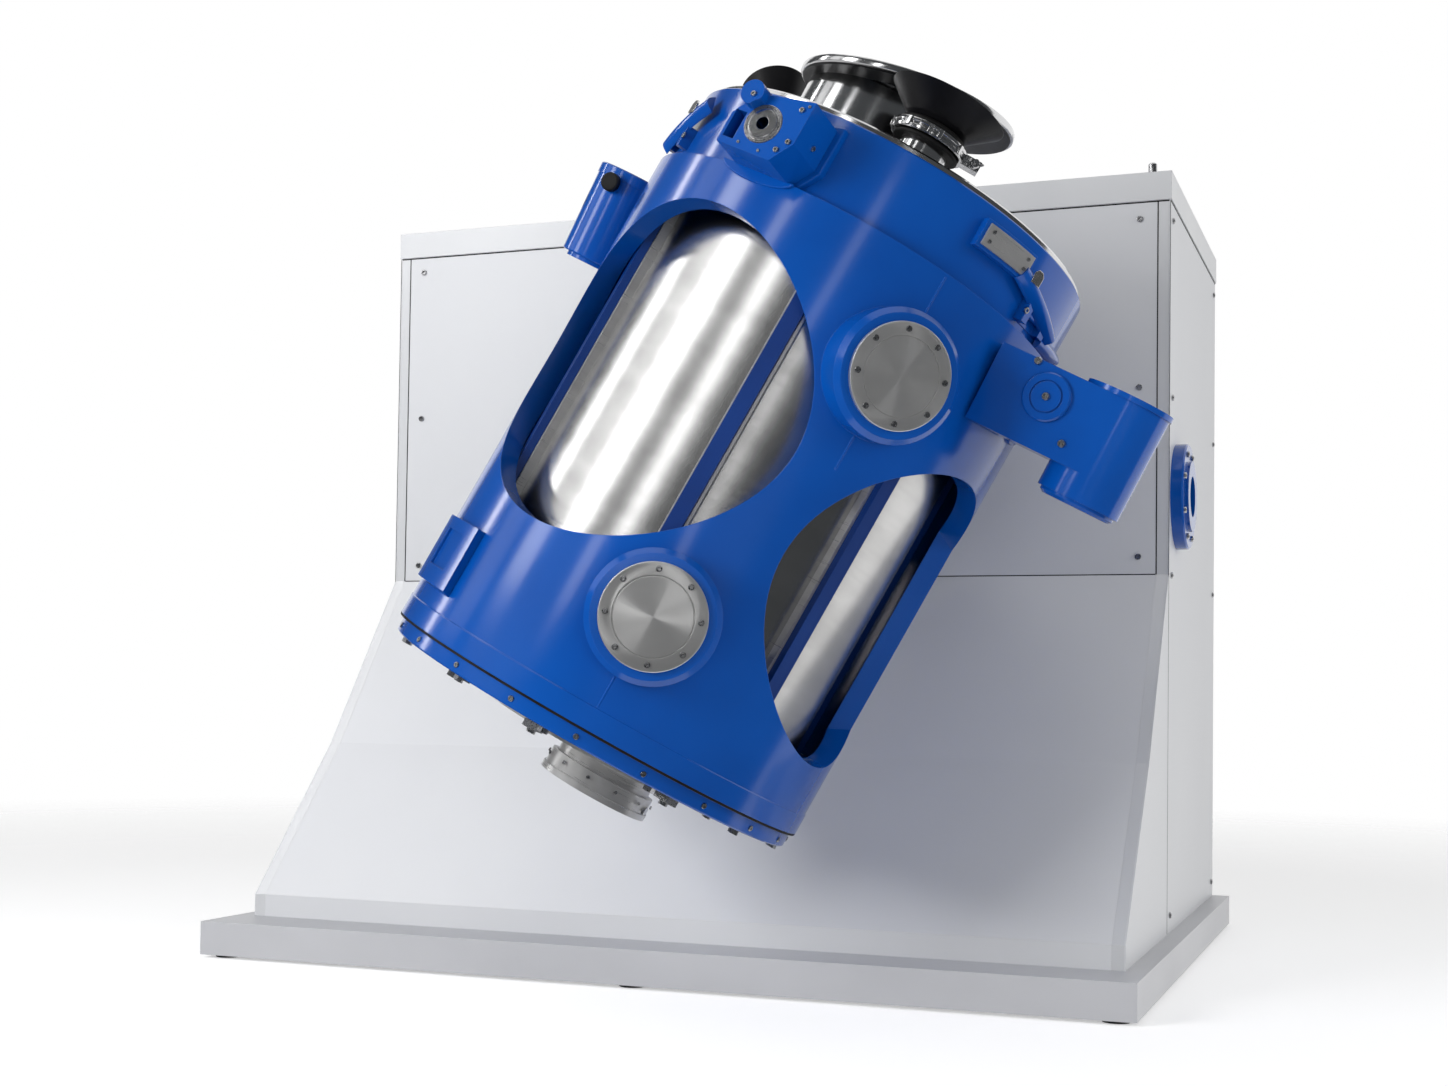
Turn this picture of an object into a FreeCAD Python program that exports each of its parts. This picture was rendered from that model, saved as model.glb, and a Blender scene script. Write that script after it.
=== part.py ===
import FreeCAD, Part
import math
import os
import re
from types import SimpleNamespace
import Sketcher
from FreeCAD import Placement, Rotation, Vector

# Three-dimensional powder blender, in millimetres and degrees
# The origin is the middle of the plinth on the floor, X right, Y back, Z up.
# The rotor and the cage each have axes of their own, given below.

SIZES = {
    # plinth and feet
    "plinth_width": 2300,
    "plinth_depth": 1860,
    "plinth_top": 90,
    "plinth_wall": 8,
    "plinth_lip": 100,
    "foot_height": 8,
    "foot_radius": 32,
    "foot_inset": 50,
    # cabinet outline
    "cabinet_height": 2000,
    "body_width": 2204,
    "back_inset": 12,
    "kick_setback": 160,
    "kick_top": 145,
    "fold_setback": 500,
    "fold_top": 525,
    "upper_setback": 825,
    "slope_top": 985,
    "band_height": 72,
    "band_proud": 3,
    "panel_sheet": 3,
    "edge_width": 28,
    "round_off": 3,
    "frame_tube": 60,
    "bearing_plate_width": 560,
    "bearing_plate_depth": 30,
    "stud_radius": 11,
    "stud_length": 40,
    "stud_nut_radius": 19,
    "stud_inset": 52,
    "screw_radius": 8,
    "screw_head": 5,
    "screw_edge": 45,
    # side flange and barring shaft
    "flange_y": 45,
    "flange_z": 1193,
    "flange_radius": 135,
    "flange_depth": 40,
    "flange_step": 28,
    "flange_rise": 4,
    "flange_seat_gap": 4,
    "flange_bore": 52,
    "flange_hub_radius": 90,
    "flange_screws": 8,
    "flange_screw_circle": 113,
    "barring_radius": 25,
    "barring_recess": 52,
    "barring_engagement": 50,
    # rotor axis and drive
    "rotor_x": 337.6,
    "rotor_z": 1207.8,
    "standoff": 930,
    "rotor_turn": 27.43,
    "housing_flange_radius": 200,
    "housing_flange_depth": 20,
    "housing_radius": 150,
    "housing_depth": 63,
    "bearing_outer": 125,
    "bearing_ball_line": 90,
    "bearing_depth": 50,
    "rotor_shaft_radius": 70,
    "shaft_tail": 265,
    "gearbox_width": 400,
    "gearbox_depth": 300,
    "motor_radius": 110,
    "motor_length": 420,
    "motor_cowl_length": 40,
    "motor_cowl_step": 20,
    "hub_radius": 210,
    "hub_flange_depth": 30,
    "hub_boss_radius": 110,
    "hub_boss_depth": 40,
    "hub_gap": 12,
    "yoke_bolts": 10,
    "yoke_bolt_circle": 180,
    "yoke_bolt_radius": 12,
    # yoke, in the rotor axes
    "trunnion_height": 323.7,
    "trunnion_offset": 52.8,
    "trunnion_radius": 40,
    "bush_wall": 12,
    "running_fit": 0.05,
    "ring_inner": 520,
    "ring_outer": 620,
    "ring_under": 290,
    "ring_height": 80,
    "ring_chamfer": 14,
    "spine_width": 220,
    "spine_depth": 60,
    "spine_top": 370,
    "knuckle_reach": 640,
    "knuckle_back": 165,
    "knuckle_under": 262,
    "knuckle_top": 400,
    "yoke_clear": 500,
    "block_front": -183,
    "block_back": -7,
    "block_under": 255,
    "block_top": 421,
    "half_round_t": 703,
    "half_round_under": 203,
    "half_round_flange": 92,
    "half_round_rise": 11,
    "half_round_cap": 80,
    "half_round_cap_depth": 12,
    "front_cap_t": 571,
    "front_cap_u": 359,
    "front_cap_radius": 49,
    "front_cap_proud": 9,
    "front_cap_ring": 30,
    "barrel_t": -575,
    "barrel_radius": 80,
    "barrel_under": 205,
    "barrel_top": 418,
    "barrel_band": 82,
    "barrel_band_depth": 24,
    "barrel_cap_radius": 66,
    "barrel_cap_depth": 9,
    "barrel_cap_hole": 18,
    "knob_radius": 21,
    "knob_length": 24,
    "knob_height": 380,
    # cage shell, in the cage axes
    "cage_rock": 9.26,
    "cage_radius": 485,
    "cage_wall": 8,
    "shell_low": -684,
    "shell_top": 430,
    "ledge_wall": 8,
    "collar_radius": 487,
    "collar_height": 46,
    "window_radius": 360,
    "window_lip_wall": 8,
    "window_lip_depth": 46,
    "front_window_angle": -18.5,
    "front_window_height": -17,
    "side_window_angle": 82,
    "side_window_start": 22,
    "side_window_end": 112,
    "back_window_angle": 213,
    "low_window_height": -204,
    "low_window_radius": 331,
    "window_lip_turn": 1,
    "porthole_boss_radius": 132,
    "porthole_rise": 62,
    "porthole_bore": 76,
    "porthole_chamfer": 11,
    "upper_porthole_angle": 39.3,
    "upper_porthole_height": 199,
    "lower_porthole_angle": 20,
    "lower_porthole_height": -432,
    "cover_radius": 105,
    "cover_depth": 9,
    "cover_ring": 77,
    "cover_groove": 2,
    "cover_screws": 8,
    "cover_screw_circle": 91,
    "cover_screw_radius": 6,
    "cover_screw_head": 3,
    "pin_pad_radius": 75,
    "pin_pad_rise": 7,
    "pin_length": 155,
    "pin_end_gap": 8,
    # rings at the two ends of the cage
    "top_ring_radius": 466,
    "top_ring_top": 598,
    "top_ring_mouth": 442,
    "bottom_ring_depth": 36,
    "bottom_ring_web": 12,
    "bottom_ring_bore": 302,
    "seam_step": 4,
    "bottom_ring_radius": 476,
    "ring_screws": 20,
    "ring_nuts": 12,
    "ring_nut_circle": 455,
    "ring_nut_radius": 12,
    "ring_nut_height": 11,
    "ring_nut_turn": 10,
    # rails, vessel and lid
    "vessel_radius": 400,
    "vessel_wall": 4,
    "vessel_flange": 440,
    "vessel_flange_depth": 10,
    "vessel_cone_top": -600,
    "vessel_cone_foot": 298,
    "strip_radius": 419.7,
    "strip_width": 46,
    "strip_low": -570,
    "strip_top": 410,
    "rail_inner": 420,
    "rail_outer": 437,
    "rail_width": 34,
    "rail_end": 40,
    "lid_radius": 455,
    "lid_depth": 14,
    "lid_chamfer": 4,
    # top pieces
    "neck_t": -101,
    "neck_b": -99,
    "neck_radius": 160,
    "neck_wall": 5,
    "neck_foot_radius": 172,
    "neck_foot_depth": 8,
    "disc_t": -46,
    "disc_b": -100,
    "disc_radius": 240,
    "disc_low": 784,
    "disc_depth": 17,
    "disc_rise_right": 8.8,
    "disc_rise_front": -5.6,
    "port_t": 134,
    "port_b": -354,
    "port_pipe": 52,
    "port_wall": 4,
    "port_flange": 66,
    "port_flange_depth": 7,
    "clamp_low": 648,
    "clamp_radius": 78,
    "clamp_height": 22,
    "funnel_foot": 70,
    "funnel_mouth": 124,
    "funnel_rise": 46,
    "funnel_wall": 5,
    "clamp_bolt_radius": 5,
    "clamp_bolt_length": 62,
    "clamp_lug_reach": 36,
    "clamp_bolt_inset": 12,
    "clamp_lug_half": 15.4,
    "clamp_lug_root": 8,
    "clamp_turn": 20,
    "wing_nut_gap": 0.3,
    "wing_span": 20,
    "wing_base": 6,
    "wing_hub_height": 14,
    "wing_height": 30,
    "vent_t": -330,
    "vent_b": 140,
    "vent_turn": 150,
    "vent_splay": 44.6,
    "vent_pipe": 45,
    "vent_pipe_length": 184,
    "vent_mouth": 83,
    "vent_cone_length": 90,
    # bottom pieces
    "bottom_plate_radius": 320,
    "bottom_plate_depth": 22,
    "outlet_t": 65,
    "outlet_bore": 102,
    "outlet_neck_wall": 8,
    "outlet_neck_depth": 32,
    "outlet_ring_radius": 122,
    "outlet_ring_depth": 48,
    "outlet_lip_radius": 126,
    "outlet_lip_depth": 14,
    "valve_depth": 12,
    "valve_gap": 0.6,
    "valve_stem_radius": 9,
    "bottom_clamps": 6,
    "bottom_clamp_length": 46,
    "bottom_clamp_width": 30,
    "bottom_clamp_depth": 16,
    "bottom_clamp_overlap": 9.9,
    "bottom_clamp_turn": 30,
    # front boss with its spherical bearing
    "boss_angle": -9,
    "boss_left": 77,
    "boss_right": 83,
    "boss_low": 428,
    "boss_top": 564,
    "boss_reach": 585,
    "boss_corner_width": 32,
    "boss_corner_height": 47,
    "boss_shoulder_width": 35,
    "boss_shoulder_height": 74,
    "boss_slope": 20,
    "boss_lug_radius": 25,
    "boss_lug_reach": 24,
    "boss_lug_height": 534,
    "boss_pocket_wall": 7,
    "boss_pocket_width": 25,
    "boss_pocket_low": 442,
    "boss_pocket_top": 500,
    "boss_pocket_depth": 60,
    "boss_bearing_height": 490,
    "ball_ring_radius": 40,
    "ball_ring_depth": 24,
    "ball_radius": 33,
    "ball_bore": 13,
    "ball_half_width": 16,
    # service pad and latches
    "pad_from": -52,
    "pad_to": -32,
    "pad_low": -620,
    "pad_top": -450,
    "pad_proud": 18,
    "pad_recess": 6,
    "pad_rim": 26,
    "latch_angle": -52,
    "right_latch_angle": 70,
    "latch_low": 448,
    "latch_base_width": 96,
    "latch_base_height": 46,
    "latch_base_depth": 20,
    "latch_pin_radius": 6,
    "latch_lever_width": 54,
    "latch_lever_height": 90,
    "latch_lever_depth": 9,
    "plate_block_from": 42,
    "plate_block_to": 59,
    "plate_block_low": 508,
    "plate_block_top": 567,
    "plate_block_rise": 22,
    "steel_plate_depth": 5,
    "steel_plate_margin": 7,
}

doc = FreeCAD.newDocument("powder_blender")
dims = doc.addObject("Spreadsheet::Sheet", "dims")
for row, (alias, number) in enumerate(SIZES.items(), 1):
    dims.set(f"A{row}", alias)
    dims.set(f"B{row}", str(number))
    dims.setAlias(f"B{row}", alias)
doc.recompute()
d = SimpleNamespace(**{alias: float(dims.get(alias)) for alias in SIZES})
nodes = {}


# Helpers that build bound objects


def formula(text):
    """Make every size name in a formula read its cell of the sheet."""
    word = r"[a-z][a-z_]*"
    return re.sub(word, lambda found: f"dims.{found[0]}" if found[0] in SIZES else found[0], text)


def bind(thing, **sizes):
    for name, text in sizes.items():
        thing.setExpression(name, formula(text))
    return thing


def primitive(kind, name, at=("0", "0", "0"), turn=None, **sizes):
    """A Part primitive at a bound place, turned by a fixed rotation."""
    thing = doc.addObject("Part::" + kind, name)
    thing.Placement = Placement(Vector(), turn or Rotation())
    for axis, text in zip("xyz", at):
        thing.setExpression(".Placement.Base." + axis, formula(text))
    return bind(thing, **sizes)


def block(name, low, high):
    """A box between two corners that are given as formulas."""
    edges = [f"({b}) - ({a})" for a, b in zip(low, high)]
    return primitive("Box", name, low, Length=edges[0], Width=edges[1], Height=edges[2])


def cylinder(name, radius, length, at=("0", "0", "0"), turn=None):
    return primitive("Cylinder", name, at, turn, Radius=radius, Height=length)


def tube(name, outer, inner, length, at=("0", "0", "0")):
    return cut(name, cylinder(name + "_outside", outer, length, at),
               cylinder(name + "_bore", inner, length, at))


def fuse(name, *shapes):
    joined = doc.addObject("Part::MultiFuse", name)
    joined.Shapes = list(shapes)
    return joined


def common(name, *shapes):
    shared = doc.addObject("Part::MultiCommon", name)
    shared.Shapes = list(shapes)
    return shared


def cut(name, base, *tools):
    result = doc.addObject("Part::Cut", name)
    result.Base = base
    result.Tool = tools[0] if len(tools) == 1 else fuse(name + "_cutters", *tools)
    return result


def outline(body, role, points, name):
    """A closed sketch of straight lines whose corners are bound to formulas."""
    sketch = body.newObject("Sketcher::SketchObject", name)
    plane = next(item for item in body.Origin.OriginFeatures if item.Role == role)
    sketch.AttachmentSupport = (plane, [""])
    sketch.MapMode = "FlatFace"
    count = len(points)
    spots = [Vector(math.cos(2 * math.pi * i / count), math.sin(2 * math.pi * i / count), 0)
             for i in range(count)]
    for i in range(count):
        sketch.addGeometry(Part.LineSegment(spots[i], spots[(i + 1) % count]), False)
    for i in range(count):
        sketch.addConstraint(Sketcher.Constraint("Coincident", i, 2, (i + 1) % count, 1))
    for i, pair in enumerate(points):
        for kind, text in zip(("DistanceX", "DistanceY"), pair):
            index = sketch.addConstraint(Sketcher.Constraint(kind, -1, 1, i, 1, 1.0))
            sketch.setExpression(f"Constraints[{index}]", formula(text))
    return sketch


def turned(name, points, angle="360"):
    """A body turned about its Z axis from a profile of radius and height."""
    body = doc.addObject("PartDesign::Body", name)
    sketch = outline(body, "XZ_Plane", points, name + "_profile")
    turn = body.newObject("PartDesign::Revolution", name + "_turn")
    turn.Profile = sketch
    turn.ReferenceAxis = (sketch, ["V_Axis"])
    bind(turn, Angle=angle)
    body.Tip = turn
    return body


def drum(name, radius, length):
    """A plain round body that may be placed freely."""
    return turned(name, [("0", "0"), (radius, "0"), (radius, length), ("0", length)])


def padded(name, role, points, length, midplane=True):
    """A body padded from an outline on one of its origin planes."""
    body = doc.addObject("PartDesign::Body", name)
    sketch = outline(body, role, points, name + "_outline")
    pad = body.newObject("PartDesign::Pad", name + "_pad")
    pad.Profile = sketch
    pad.Midplane = midplane
    bind(pad, Length=length)
    body.Tip = pad
    return body


def together(name, *pieces):
    """Separate solids in one group: pairs of a piece and the places of its copies."""
    doc.recompute()
    group = doc.addObject("Part::Feature", name)
    solids = []
    for pattern, places in pieces:
        for place in places:
            solid = pattern.Shape.copy()
            solid.Placement = place.multiply(solid.Placement)
            solids.append(solid)
    group.Shape = Part.makeCompound(solids)
    return group


def copies(name, pattern, places):
    """Separate equal solids of one piece, each at its own place."""
    return together(name, (pattern, places))


def node(name, thing, place=None):
    """Name a finished piece and put it in its place on the machine."""
    thing.Label = name
    if place:
        thing.Placement = place.multiply(thing.Placement)
    nodes[name] = thing
    return thing


def shifted(x, y, z):
    return Placement(Vector(x, y, z), Rotation())


def ring_of(count, radius, height, start=0.0):
    """Places on a circle round Z, each turned to face outwards."""
    spots = []
    for index in range(int(count)):
        spin = Rotation(Vector(0, 0, 1), start + 360.0 * index / int(count))
        spots.append(Placement(spin.multVec(Vector(radius, 0, height)), spin))
    return spots


# Axes of the three assemblies

ALONG_X = Rotation(Vector(0, 1, 0), 90)
ALONG_Y = Rotation(Vector(1, 0, 0), -90)
TOWARDS_FRONT = Rotation(Vector(1, 0, 0), 90)
UPPER_Y = "(upper_setback - plinth_depth / 2)"
KICK_Y = "(kick_setback - plinth_depth / 2)"
FOLD_Y = "(fold_setback - plinth_depth / 2)"
BACK_Y = "(plinth_depth / 2 - back_inset)"
BAND_LOW = "(cabinet_height - band_height)"
TRUNNION_RISE = "(sqrt(trunnion_height ^ 2 + trunnion_offset ^ 2))"

upper_y = d.upper_setback - d.plinth_depth / 2
back_y = d.plinth_depth / 2 - d.back_inset
flange_place = Placement(Vector(d.body_width / 2, d.flange_y, d.flange_z), ALONG_X)
rotor_origin = Vector(d.rotor_x, upper_y - d.standoff, d.rotor_z)
rotor_place = Placement(rotor_origin, Rotation(Vector(0, 1, 0), d.rotor_turn))
cage_place = rotor_place.multiply(Placement(Vector(), Rotation(Vector(1, 0, 0), -d.cage_rock)))
trunnion_rise = math.hypot(d.trunnion_height, d.trunnion_offset)


def facing(angle, radius, height):
    """A place on the cage whose Z axis points outwards at an angle from the front."""
    spin = Rotation(Vector(0, 0, 1), angle) * TOWARDS_FRONT
    return Placement(spin.multVec(Vector(0, 0, radius)) + Vector(0, 0, height), spin)


def radial_cylinder(name, radius, low, high, angle, height):
    """A cylinder that points outwards between two radii of the cage."""
    turn = Rotation(Vector(0, 0, 1), getattr(d, angle)) * TOWARDS_FRONT
    at = (f"({low}) * sin({angle})", f"-({low}) * cos({angle})", height)
    return cylinder(name, radius, f"({high}) - ({low})", at, turn)


def sector(name, inner, outer, low, high, start, end):
    """A slice of a ring of the cage between two angles from the front."""
    slice_ = turned(name, [(inner, low), (outer, low), (outer, high), (inner, high)],
                    f"({end}) - ({start})")
    slice_.Placement = Placement(Vector(), Rotation(Vector(0, 0, 1), start_angle(start)))
    return slice_


def start_angle(text):
    return getattr(d, text) - 90


# Cabinet


def make_plinth():
    half_w, half_d = "plinth_width / 2", "plinth_depth / 2"
    outside = block("plinth_outside", (f"-{half_w}", f"-{half_d}", "foot_height"),
                    (half_w, half_d, "plinth_top"))
    inset_w, inset_d = f"({half_w} - plinth_wall)", f"({half_d} - plinth_wall)"
    cavity = block("plinth_cavity", (f"-{inset_w}", f"-{inset_d}", "foot_height + plinth_wall"),
                   (inset_w, inset_d, "plinth_top - plinth_wall"))
    lip_w, lip_d = f"({half_w} - plinth_lip)", f"({half_d} - plinth_lip)"
    mouth = block("plinth_mouth", (f"-{lip_w}", f"-{lip_d}", "foot_height"),
                  (lip_w, lip_d, "foot_height + plinth_wall"))
    beam = block("plinth_beam", ("-plinth_lip / 2", f"-{inset_d}", "foot_height"),
                 ("plinth_lip / 2", inset_d, "plinth_top - plinth_wall"))
    node("plinth", fuse("plinth_base", cut("plinth_tray", outside, cavity, mouth), beam))
    foot = turned("foot_disc", [("0", "0"), ("foot_radius - foot_height / 4", "0"),
                                ("foot_radius", "foot_height / 4"),
                                ("foot_radius", "foot_height"), ("0", "foot_height")])
    reach_x = d.plinth_width / 2 - d.foot_inset
    reach_y = d.plinth_depth / 2 - d.foot_inset
    spots = [shifted(x, y, 0) for x in (-reach_x, 0, reach_x)
             for y in (-reach_y, 0, reach_y)]
    node("levelling_feet", copies("feet", foot, spots))


def make_frame():
    """Square-tube frame: uprights, rails, and posts with the bearing plate between them."""
    outer = "(body_width / 2 - panel_sheet - edge_width)"
    inner = f"({outer} - frame_tube)"
    front = f"({UPPER_Y} + panel_sheet)"
    rear = f"({BACK_Y} - panel_sheet)"
    rail_low = f"({BAND_LOW} - frame_tube)"
    bars = []
    ends = ((front, f"({front} + frame_tube)"), (f"({rear} - frame_tube)", rear))
    for side, (low, high) in enumerate([(f"-{outer}", f"-{inner}"), (inner, outer)]):
        for end, (near, far) in enumerate(ends):
            bars.append(block(f"upright_{side}_{end}", (low, near, "plinth_top"),
                              (high, far, BAND_LOW)))
        bars.append(block(f"side_rail_{side}", (low, ends[0][1], rail_low),
                          (high, ends[1][0], BAND_LOW)))
    for end, (near, far) in enumerate(ends):
        bars.append(block(f"top_rail_{end}", (f"-{inner}", near, rail_low),
                          (inner, far, BAND_LOW)))
    half = "bearing_plate_width / 2"
    for side, low in enumerate([f"rotor_x - {half} - frame_tube", f"rotor_x + {half}"]):
        bars.append(block(f"bearing_post_{side}", (low, front, "plinth_top"),
                          (f"{low} + frame_tube", ends[0][1], rail_low)))
    plate = block("bearing_plate", (f"rotor_x - {half}", front, f"rotor_z - {half}"),
                  (f"rotor_x + {half}", f"{front} + bearing_plate_depth", f"rotor_z + {half}"))
    bore = cylinder("bearing_plate_bore", "housing_radius", "frame_tube * 3",
                    ("rotor_x", f"{front} - frame_tube", "rotor_z"), ALONG_Y)
    bars.append(cut("bearing_plate_bored", plate, bore))
    node("cabinet_frame", together("frame", *[(bar, [Placement()]) for bar in bars]))


def make_front_panels():
    """Upper panel, folded lower panel, kick plate, corner posts and edge strips."""
    clear = "(body_width / 2 - panel_sheet - edge_width)"
    upper = block("upper_sheet", (f"-{clear}", UPPER_Y, "slope_top"),
                  (clear, f"{UPPER_Y} + panel_sheet", BAND_LOW))
    hole = cylinder("upper_sheet_hole", "housing_radius", "frame_tube",
                    ("rotor_x", f"{UPPER_Y} - frame_tube / 2", "rotor_z"), ALONG_Y)
    node("upper_front_panel", cut("upper_panel", upper, hole))
    skin = [(KICK_Y, "kick_top"), (FOLD_Y, "fold_top"), (UPPER_Y, "slope_top")]
    back = [(f"{y} + panel_sheet", z) for y, z in reversed(skin)]
    lower = padded("lower_panel", "YZ_Plane", skin + back,
                   f"2 * {clear}")
    node("lower_front_panel", lower)
    kick = block("kick_sheet", (f"-{clear}", KICK_Y, "plinth_top"),
                 (clear, f"{KICK_Y} + panel_sheet", "kick_top"))
    node("kick_plate", kick)
    strip = [(KICK_Y, "plinth_top")] + skin
    strip += [(f"{y} + edge_width", z) for y, z in reversed(skin)]
    strip += [(f"{KICK_Y} + edge_width", "plinth_top")]
    bar = padded("edge_strip", "YZ_Plane", strip, "edge_width")
    middle = d.body_width / 2 - d.panel_sheet - d.edge_width / 2
    post = block("corner_post", ("-edge_width / 2", "-edge_width / 2", "slope_top"),
                 ("edge_width / 2", "edge_width / 2", BAND_LOW))
    front = upper_y + d.edge_width / 2
    rear = back_y - d.panel_sheet - d.edge_width / 2
    spots = [shifted(x, y, 0) for x in (-middle, middle) for y in (front, rear)]
    sides = [shifted(-middle, 0, 0), shifted(middle, 0, 0)]
    node("corner_trim", together("trim", (bar, sides), (post, spots)))


def make_side_panels():
    """Side panels behind the seam, wing panels before it, and the rear cover."""
    half = "body_width / 2"
    sheets = []
    for side, low in (("left", f"-{half}"), ("right", f"{half} - panel_sheet")):
        sheets.append(block(f"{side}_side_sheet", (low, UPPER_Y, "plinth_top"),
                            (f"{low} + panel_sheet", BACK_Y, BAND_LOW)))
    hole = cylinder("side_hole", "flange_bore + flange_seat_gap", "frame_tube",
                    (f"{half} - frame_tube / 2", "flange_y", "flange_z"), ALONG_X)
    right = cut("right_side_cut", sheets[1], hole)
    node("side_panels", together("side_pair", (sheets[0], [Placement()]), (right, [Placement()])))
    wing = padded("wing", "YZ_Plane",
                  [(KICK_Y, "plinth_top"), (KICK_Y, "kick_top"), (FOLD_Y, "fold_top"),
                   (UPPER_Y, "slope_top"), (UPPER_Y, "plinth_top")], "panel_sheet")
    middle = (d.body_width - d.panel_sheet) / 2
    node("wing_panels", copies("wing_pair", wing, [shifted(-middle, 0, 0), shifted(middle, 0, 0)]))
    inner = f"({half} - panel_sheet)"
    node("rear_cover", block("rear_sheet", (f"-{inner}", f"{BACK_Y} - panel_sheet", "plinth_top"),
                             (inner, BACK_Y, BAND_LOW)))


def make_top():
    """Folded band round the top, its cover plate and the lifting stud."""
    half = "(body_width / 2 + band_proud)"
    front, rear = f"({UPPER_Y} - band_proud)", f"({BACK_Y} + band_proud)"
    wall = "(panel_sheet + band_proud)"
    outside = block("band_outside", (f"-{half}", front, BAND_LOW), (half, rear, "cabinet_height"))
    inside = block("band_inside", (f"-{half} + {wall}", f"{front} + {wall}", BAND_LOW),
                   (f"{half} - {wall}", f"{rear} - {wall}", "cabinet_height"))
    node("top_band", cut("band_walls", outside, inside))
    node("top_cover", block("cover_sheet",
                            (f"-{half} + {wall}", f"{front} + {wall}",
                             "cabinet_height - 2 * panel_sheet"),
                            (f"{half} - {wall}", f"{rear} - {wall}",
                             "cabinet_height - panel_sheet")))
    stud = turned("lifting_pin", [("0", "0"), ("stud_nut_radius", "0"),
                                  ("stud_nut_radius", "stud_nut_radius / 2"),
                                  ("stud_radius", "stud_nut_radius / 2 + 2"),
                                  ("stud_radius", "stud_length - stud_radius / 3"),
                                  ("stud_radius * 2 / 3", "stud_length"), ("0", "stud_length")])
    node("lifting_stud", stud, shifted(d.body_width / 2 - d.stud_inset, upper_y + d.stud_inset,
                                       d.cabinet_height - d.panel_sheet))


HEAD_RIM, HEAD_STEP, SOCKET = 0.85, 0.6, 0.45


def screw_head(name, radius, height, socket=True):
    """A low cap head with a hollow for the key, standing on its seat at zero."""
    rim, socket_radius = f"({radius}) * {HEAD_RIM}", f"({radius}) * {SOCKET}"
    points = [("0", "0"), (radius, "0"), (radius, f"({height}) * {HEAD_STEP}"), (rim, height)]
    if socket:
        points += [(socket_radius, height), (socket_radius, f"({height}) / 2"),
                   ("0", f"({height}) / 2")]
    else:
        points += [("0", height)]
    return turned(name, points)


def make_cabinet_screws():
    """Cap screws round the edges of the panels and on the side flange."""
    head = screw_head("panel_screw", "screw_radius", "screw_head")
    half = d.body_width / 2
    clear = half - d.panel_sheet - d.edge_width - d.screw_edge
    band_low = d.cabinet_height - d.band_height
    top, low = band_low - d.screw_edge, d.slope_top + d.screw_edge
    spots = []
    for x in (-clear, clear):
        for z in (low, (low + top) / 2, top):
            spots.append(Placement(Vector(x, upper_y, z), TOWARDS_FRONT))
    rows = (d.plinth_top + d.screw_edge, d.slope_top, (d.slope_top + top) / 2, top)
    for y in (upper_y + d.screw_edge, back_y - d.screw_edge):
        for z in rows:
            spots.append(Placement(Vector(half, y, z), ALONG_X))
            spots.append(Placement(Vector(-half, y, z), ALONG_X.inverted()))
    seat = d.flange_step + d.flange_rise
    spots += [flange_place.multiply(spot) for spot in
              ring_of(d.flange_screws, d.flange_screw_circle, seat, 180.0 / d.flange_screws)]
    node("cabinet_screws", copies("screws", head, spots))


def make_side_flange():
    """Blind flange with a raised hub, through which the barring shaft is reached."""
    rim = "flange_step + flange_rise"
    flange = turned("side_ring", [("flange_bore", "0"), ("flange_radius", "0"),
                                  ("flange_radius", "flange_step"),
                                  ("flange_radius - flange_rise", rim),
                                  ("flange_hub_radius", rim),
                                  ("flange_hub_radius", "flange_depth"),
                                  ("flange_bore", "flange_depth")])
    node("side_flange", flange, flange_place)


def make_drive():
    """Bearing housing, outer bearing ring, gearbox and motor on the rotor axis."""
    lip = "housing_flange_depth"
    housing = turned("housing_turned",
                     [("hub_boss_radius + 4", "0"), ("housing_flange_radius", "0"),
                      ("housing_flange_radius", lip), ("housing_radius", lip),
                      ("housing_radius", f"{lip} + housing_depth"),
                      ("bearing_outer", f"{lip} + housing_depth"),
                      ("bearing_outer", f"{lip} + housing_depth - bearing_depth"),
                      ("hub_boss_radius + 4", f"{lip} + housing_depth - bearing_depth")])
    start = Placement(Vector(d.rotor_x, upper_y - d.housing_flange_depth, d.rotor_z), ALONG_Y)
    node("main_bearing_housing", housing, start)
    ring = turned("outer_ring", [("bearing_ball_line + running_fit", "0"), ("bearing_outer", "0"),
                                 ("bearing_outer", "bearing_depth"),
                                 ("bearing_ball_line + running_fit", "bearing_depth")])
    seat = d.housing_flange_depth + d.housing_depth - d.bearing_depth
    node("main_bearing_outer_ring", ring, start.multiply(shifted(0, 0, seat)))
    rear = f"({UPPER_Y} + housing_depth)"
    half = "gearbox_width / 2"
    case = block("gearbox_case", (f"rotor_x - {half}", rear, f"rotor_z - {half}"),
                 (f"rotor_x + {half}", f"{rear} + gearbox_depth", f"rotor_z + {half}"))
    bore = cylinder("gearbox_bore", "rotor_shaft_radius + running_fit", "gearbox_depth",
                    ("rotor_x", rear, "rotor_z"), ALONG_Y)
    side = cylinder("gearbox_side_bore", "barring_radius + running_fit", "barring_engagement",
                    (f"rotor_x + {half} - barring_engagement", "flange_y", "flange_z"), ALONG_X)
    node("drive_gearbox", cut("gearbox_bored", case, bore, side))
    motor = turned("motor_body", [("0", "0"), ("motor_radius", "0"),
                                  ("motor_radius", "motor_length - motor_cowl_length"),
                                  ("motor_radius - motor_cowl_step", "motor_length"), ("0", "motor_length")])
    down = Rotation(Vector(1, 0, 0), 180)
    middle = upper_y + d.housing_depth + d.gearbox_depth / 2
    node("drive_motor", motor, Placement(Vector(d.rotor_x, middle, d.rotor_z - d.gearbox_width / 2),
                                         down))


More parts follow.
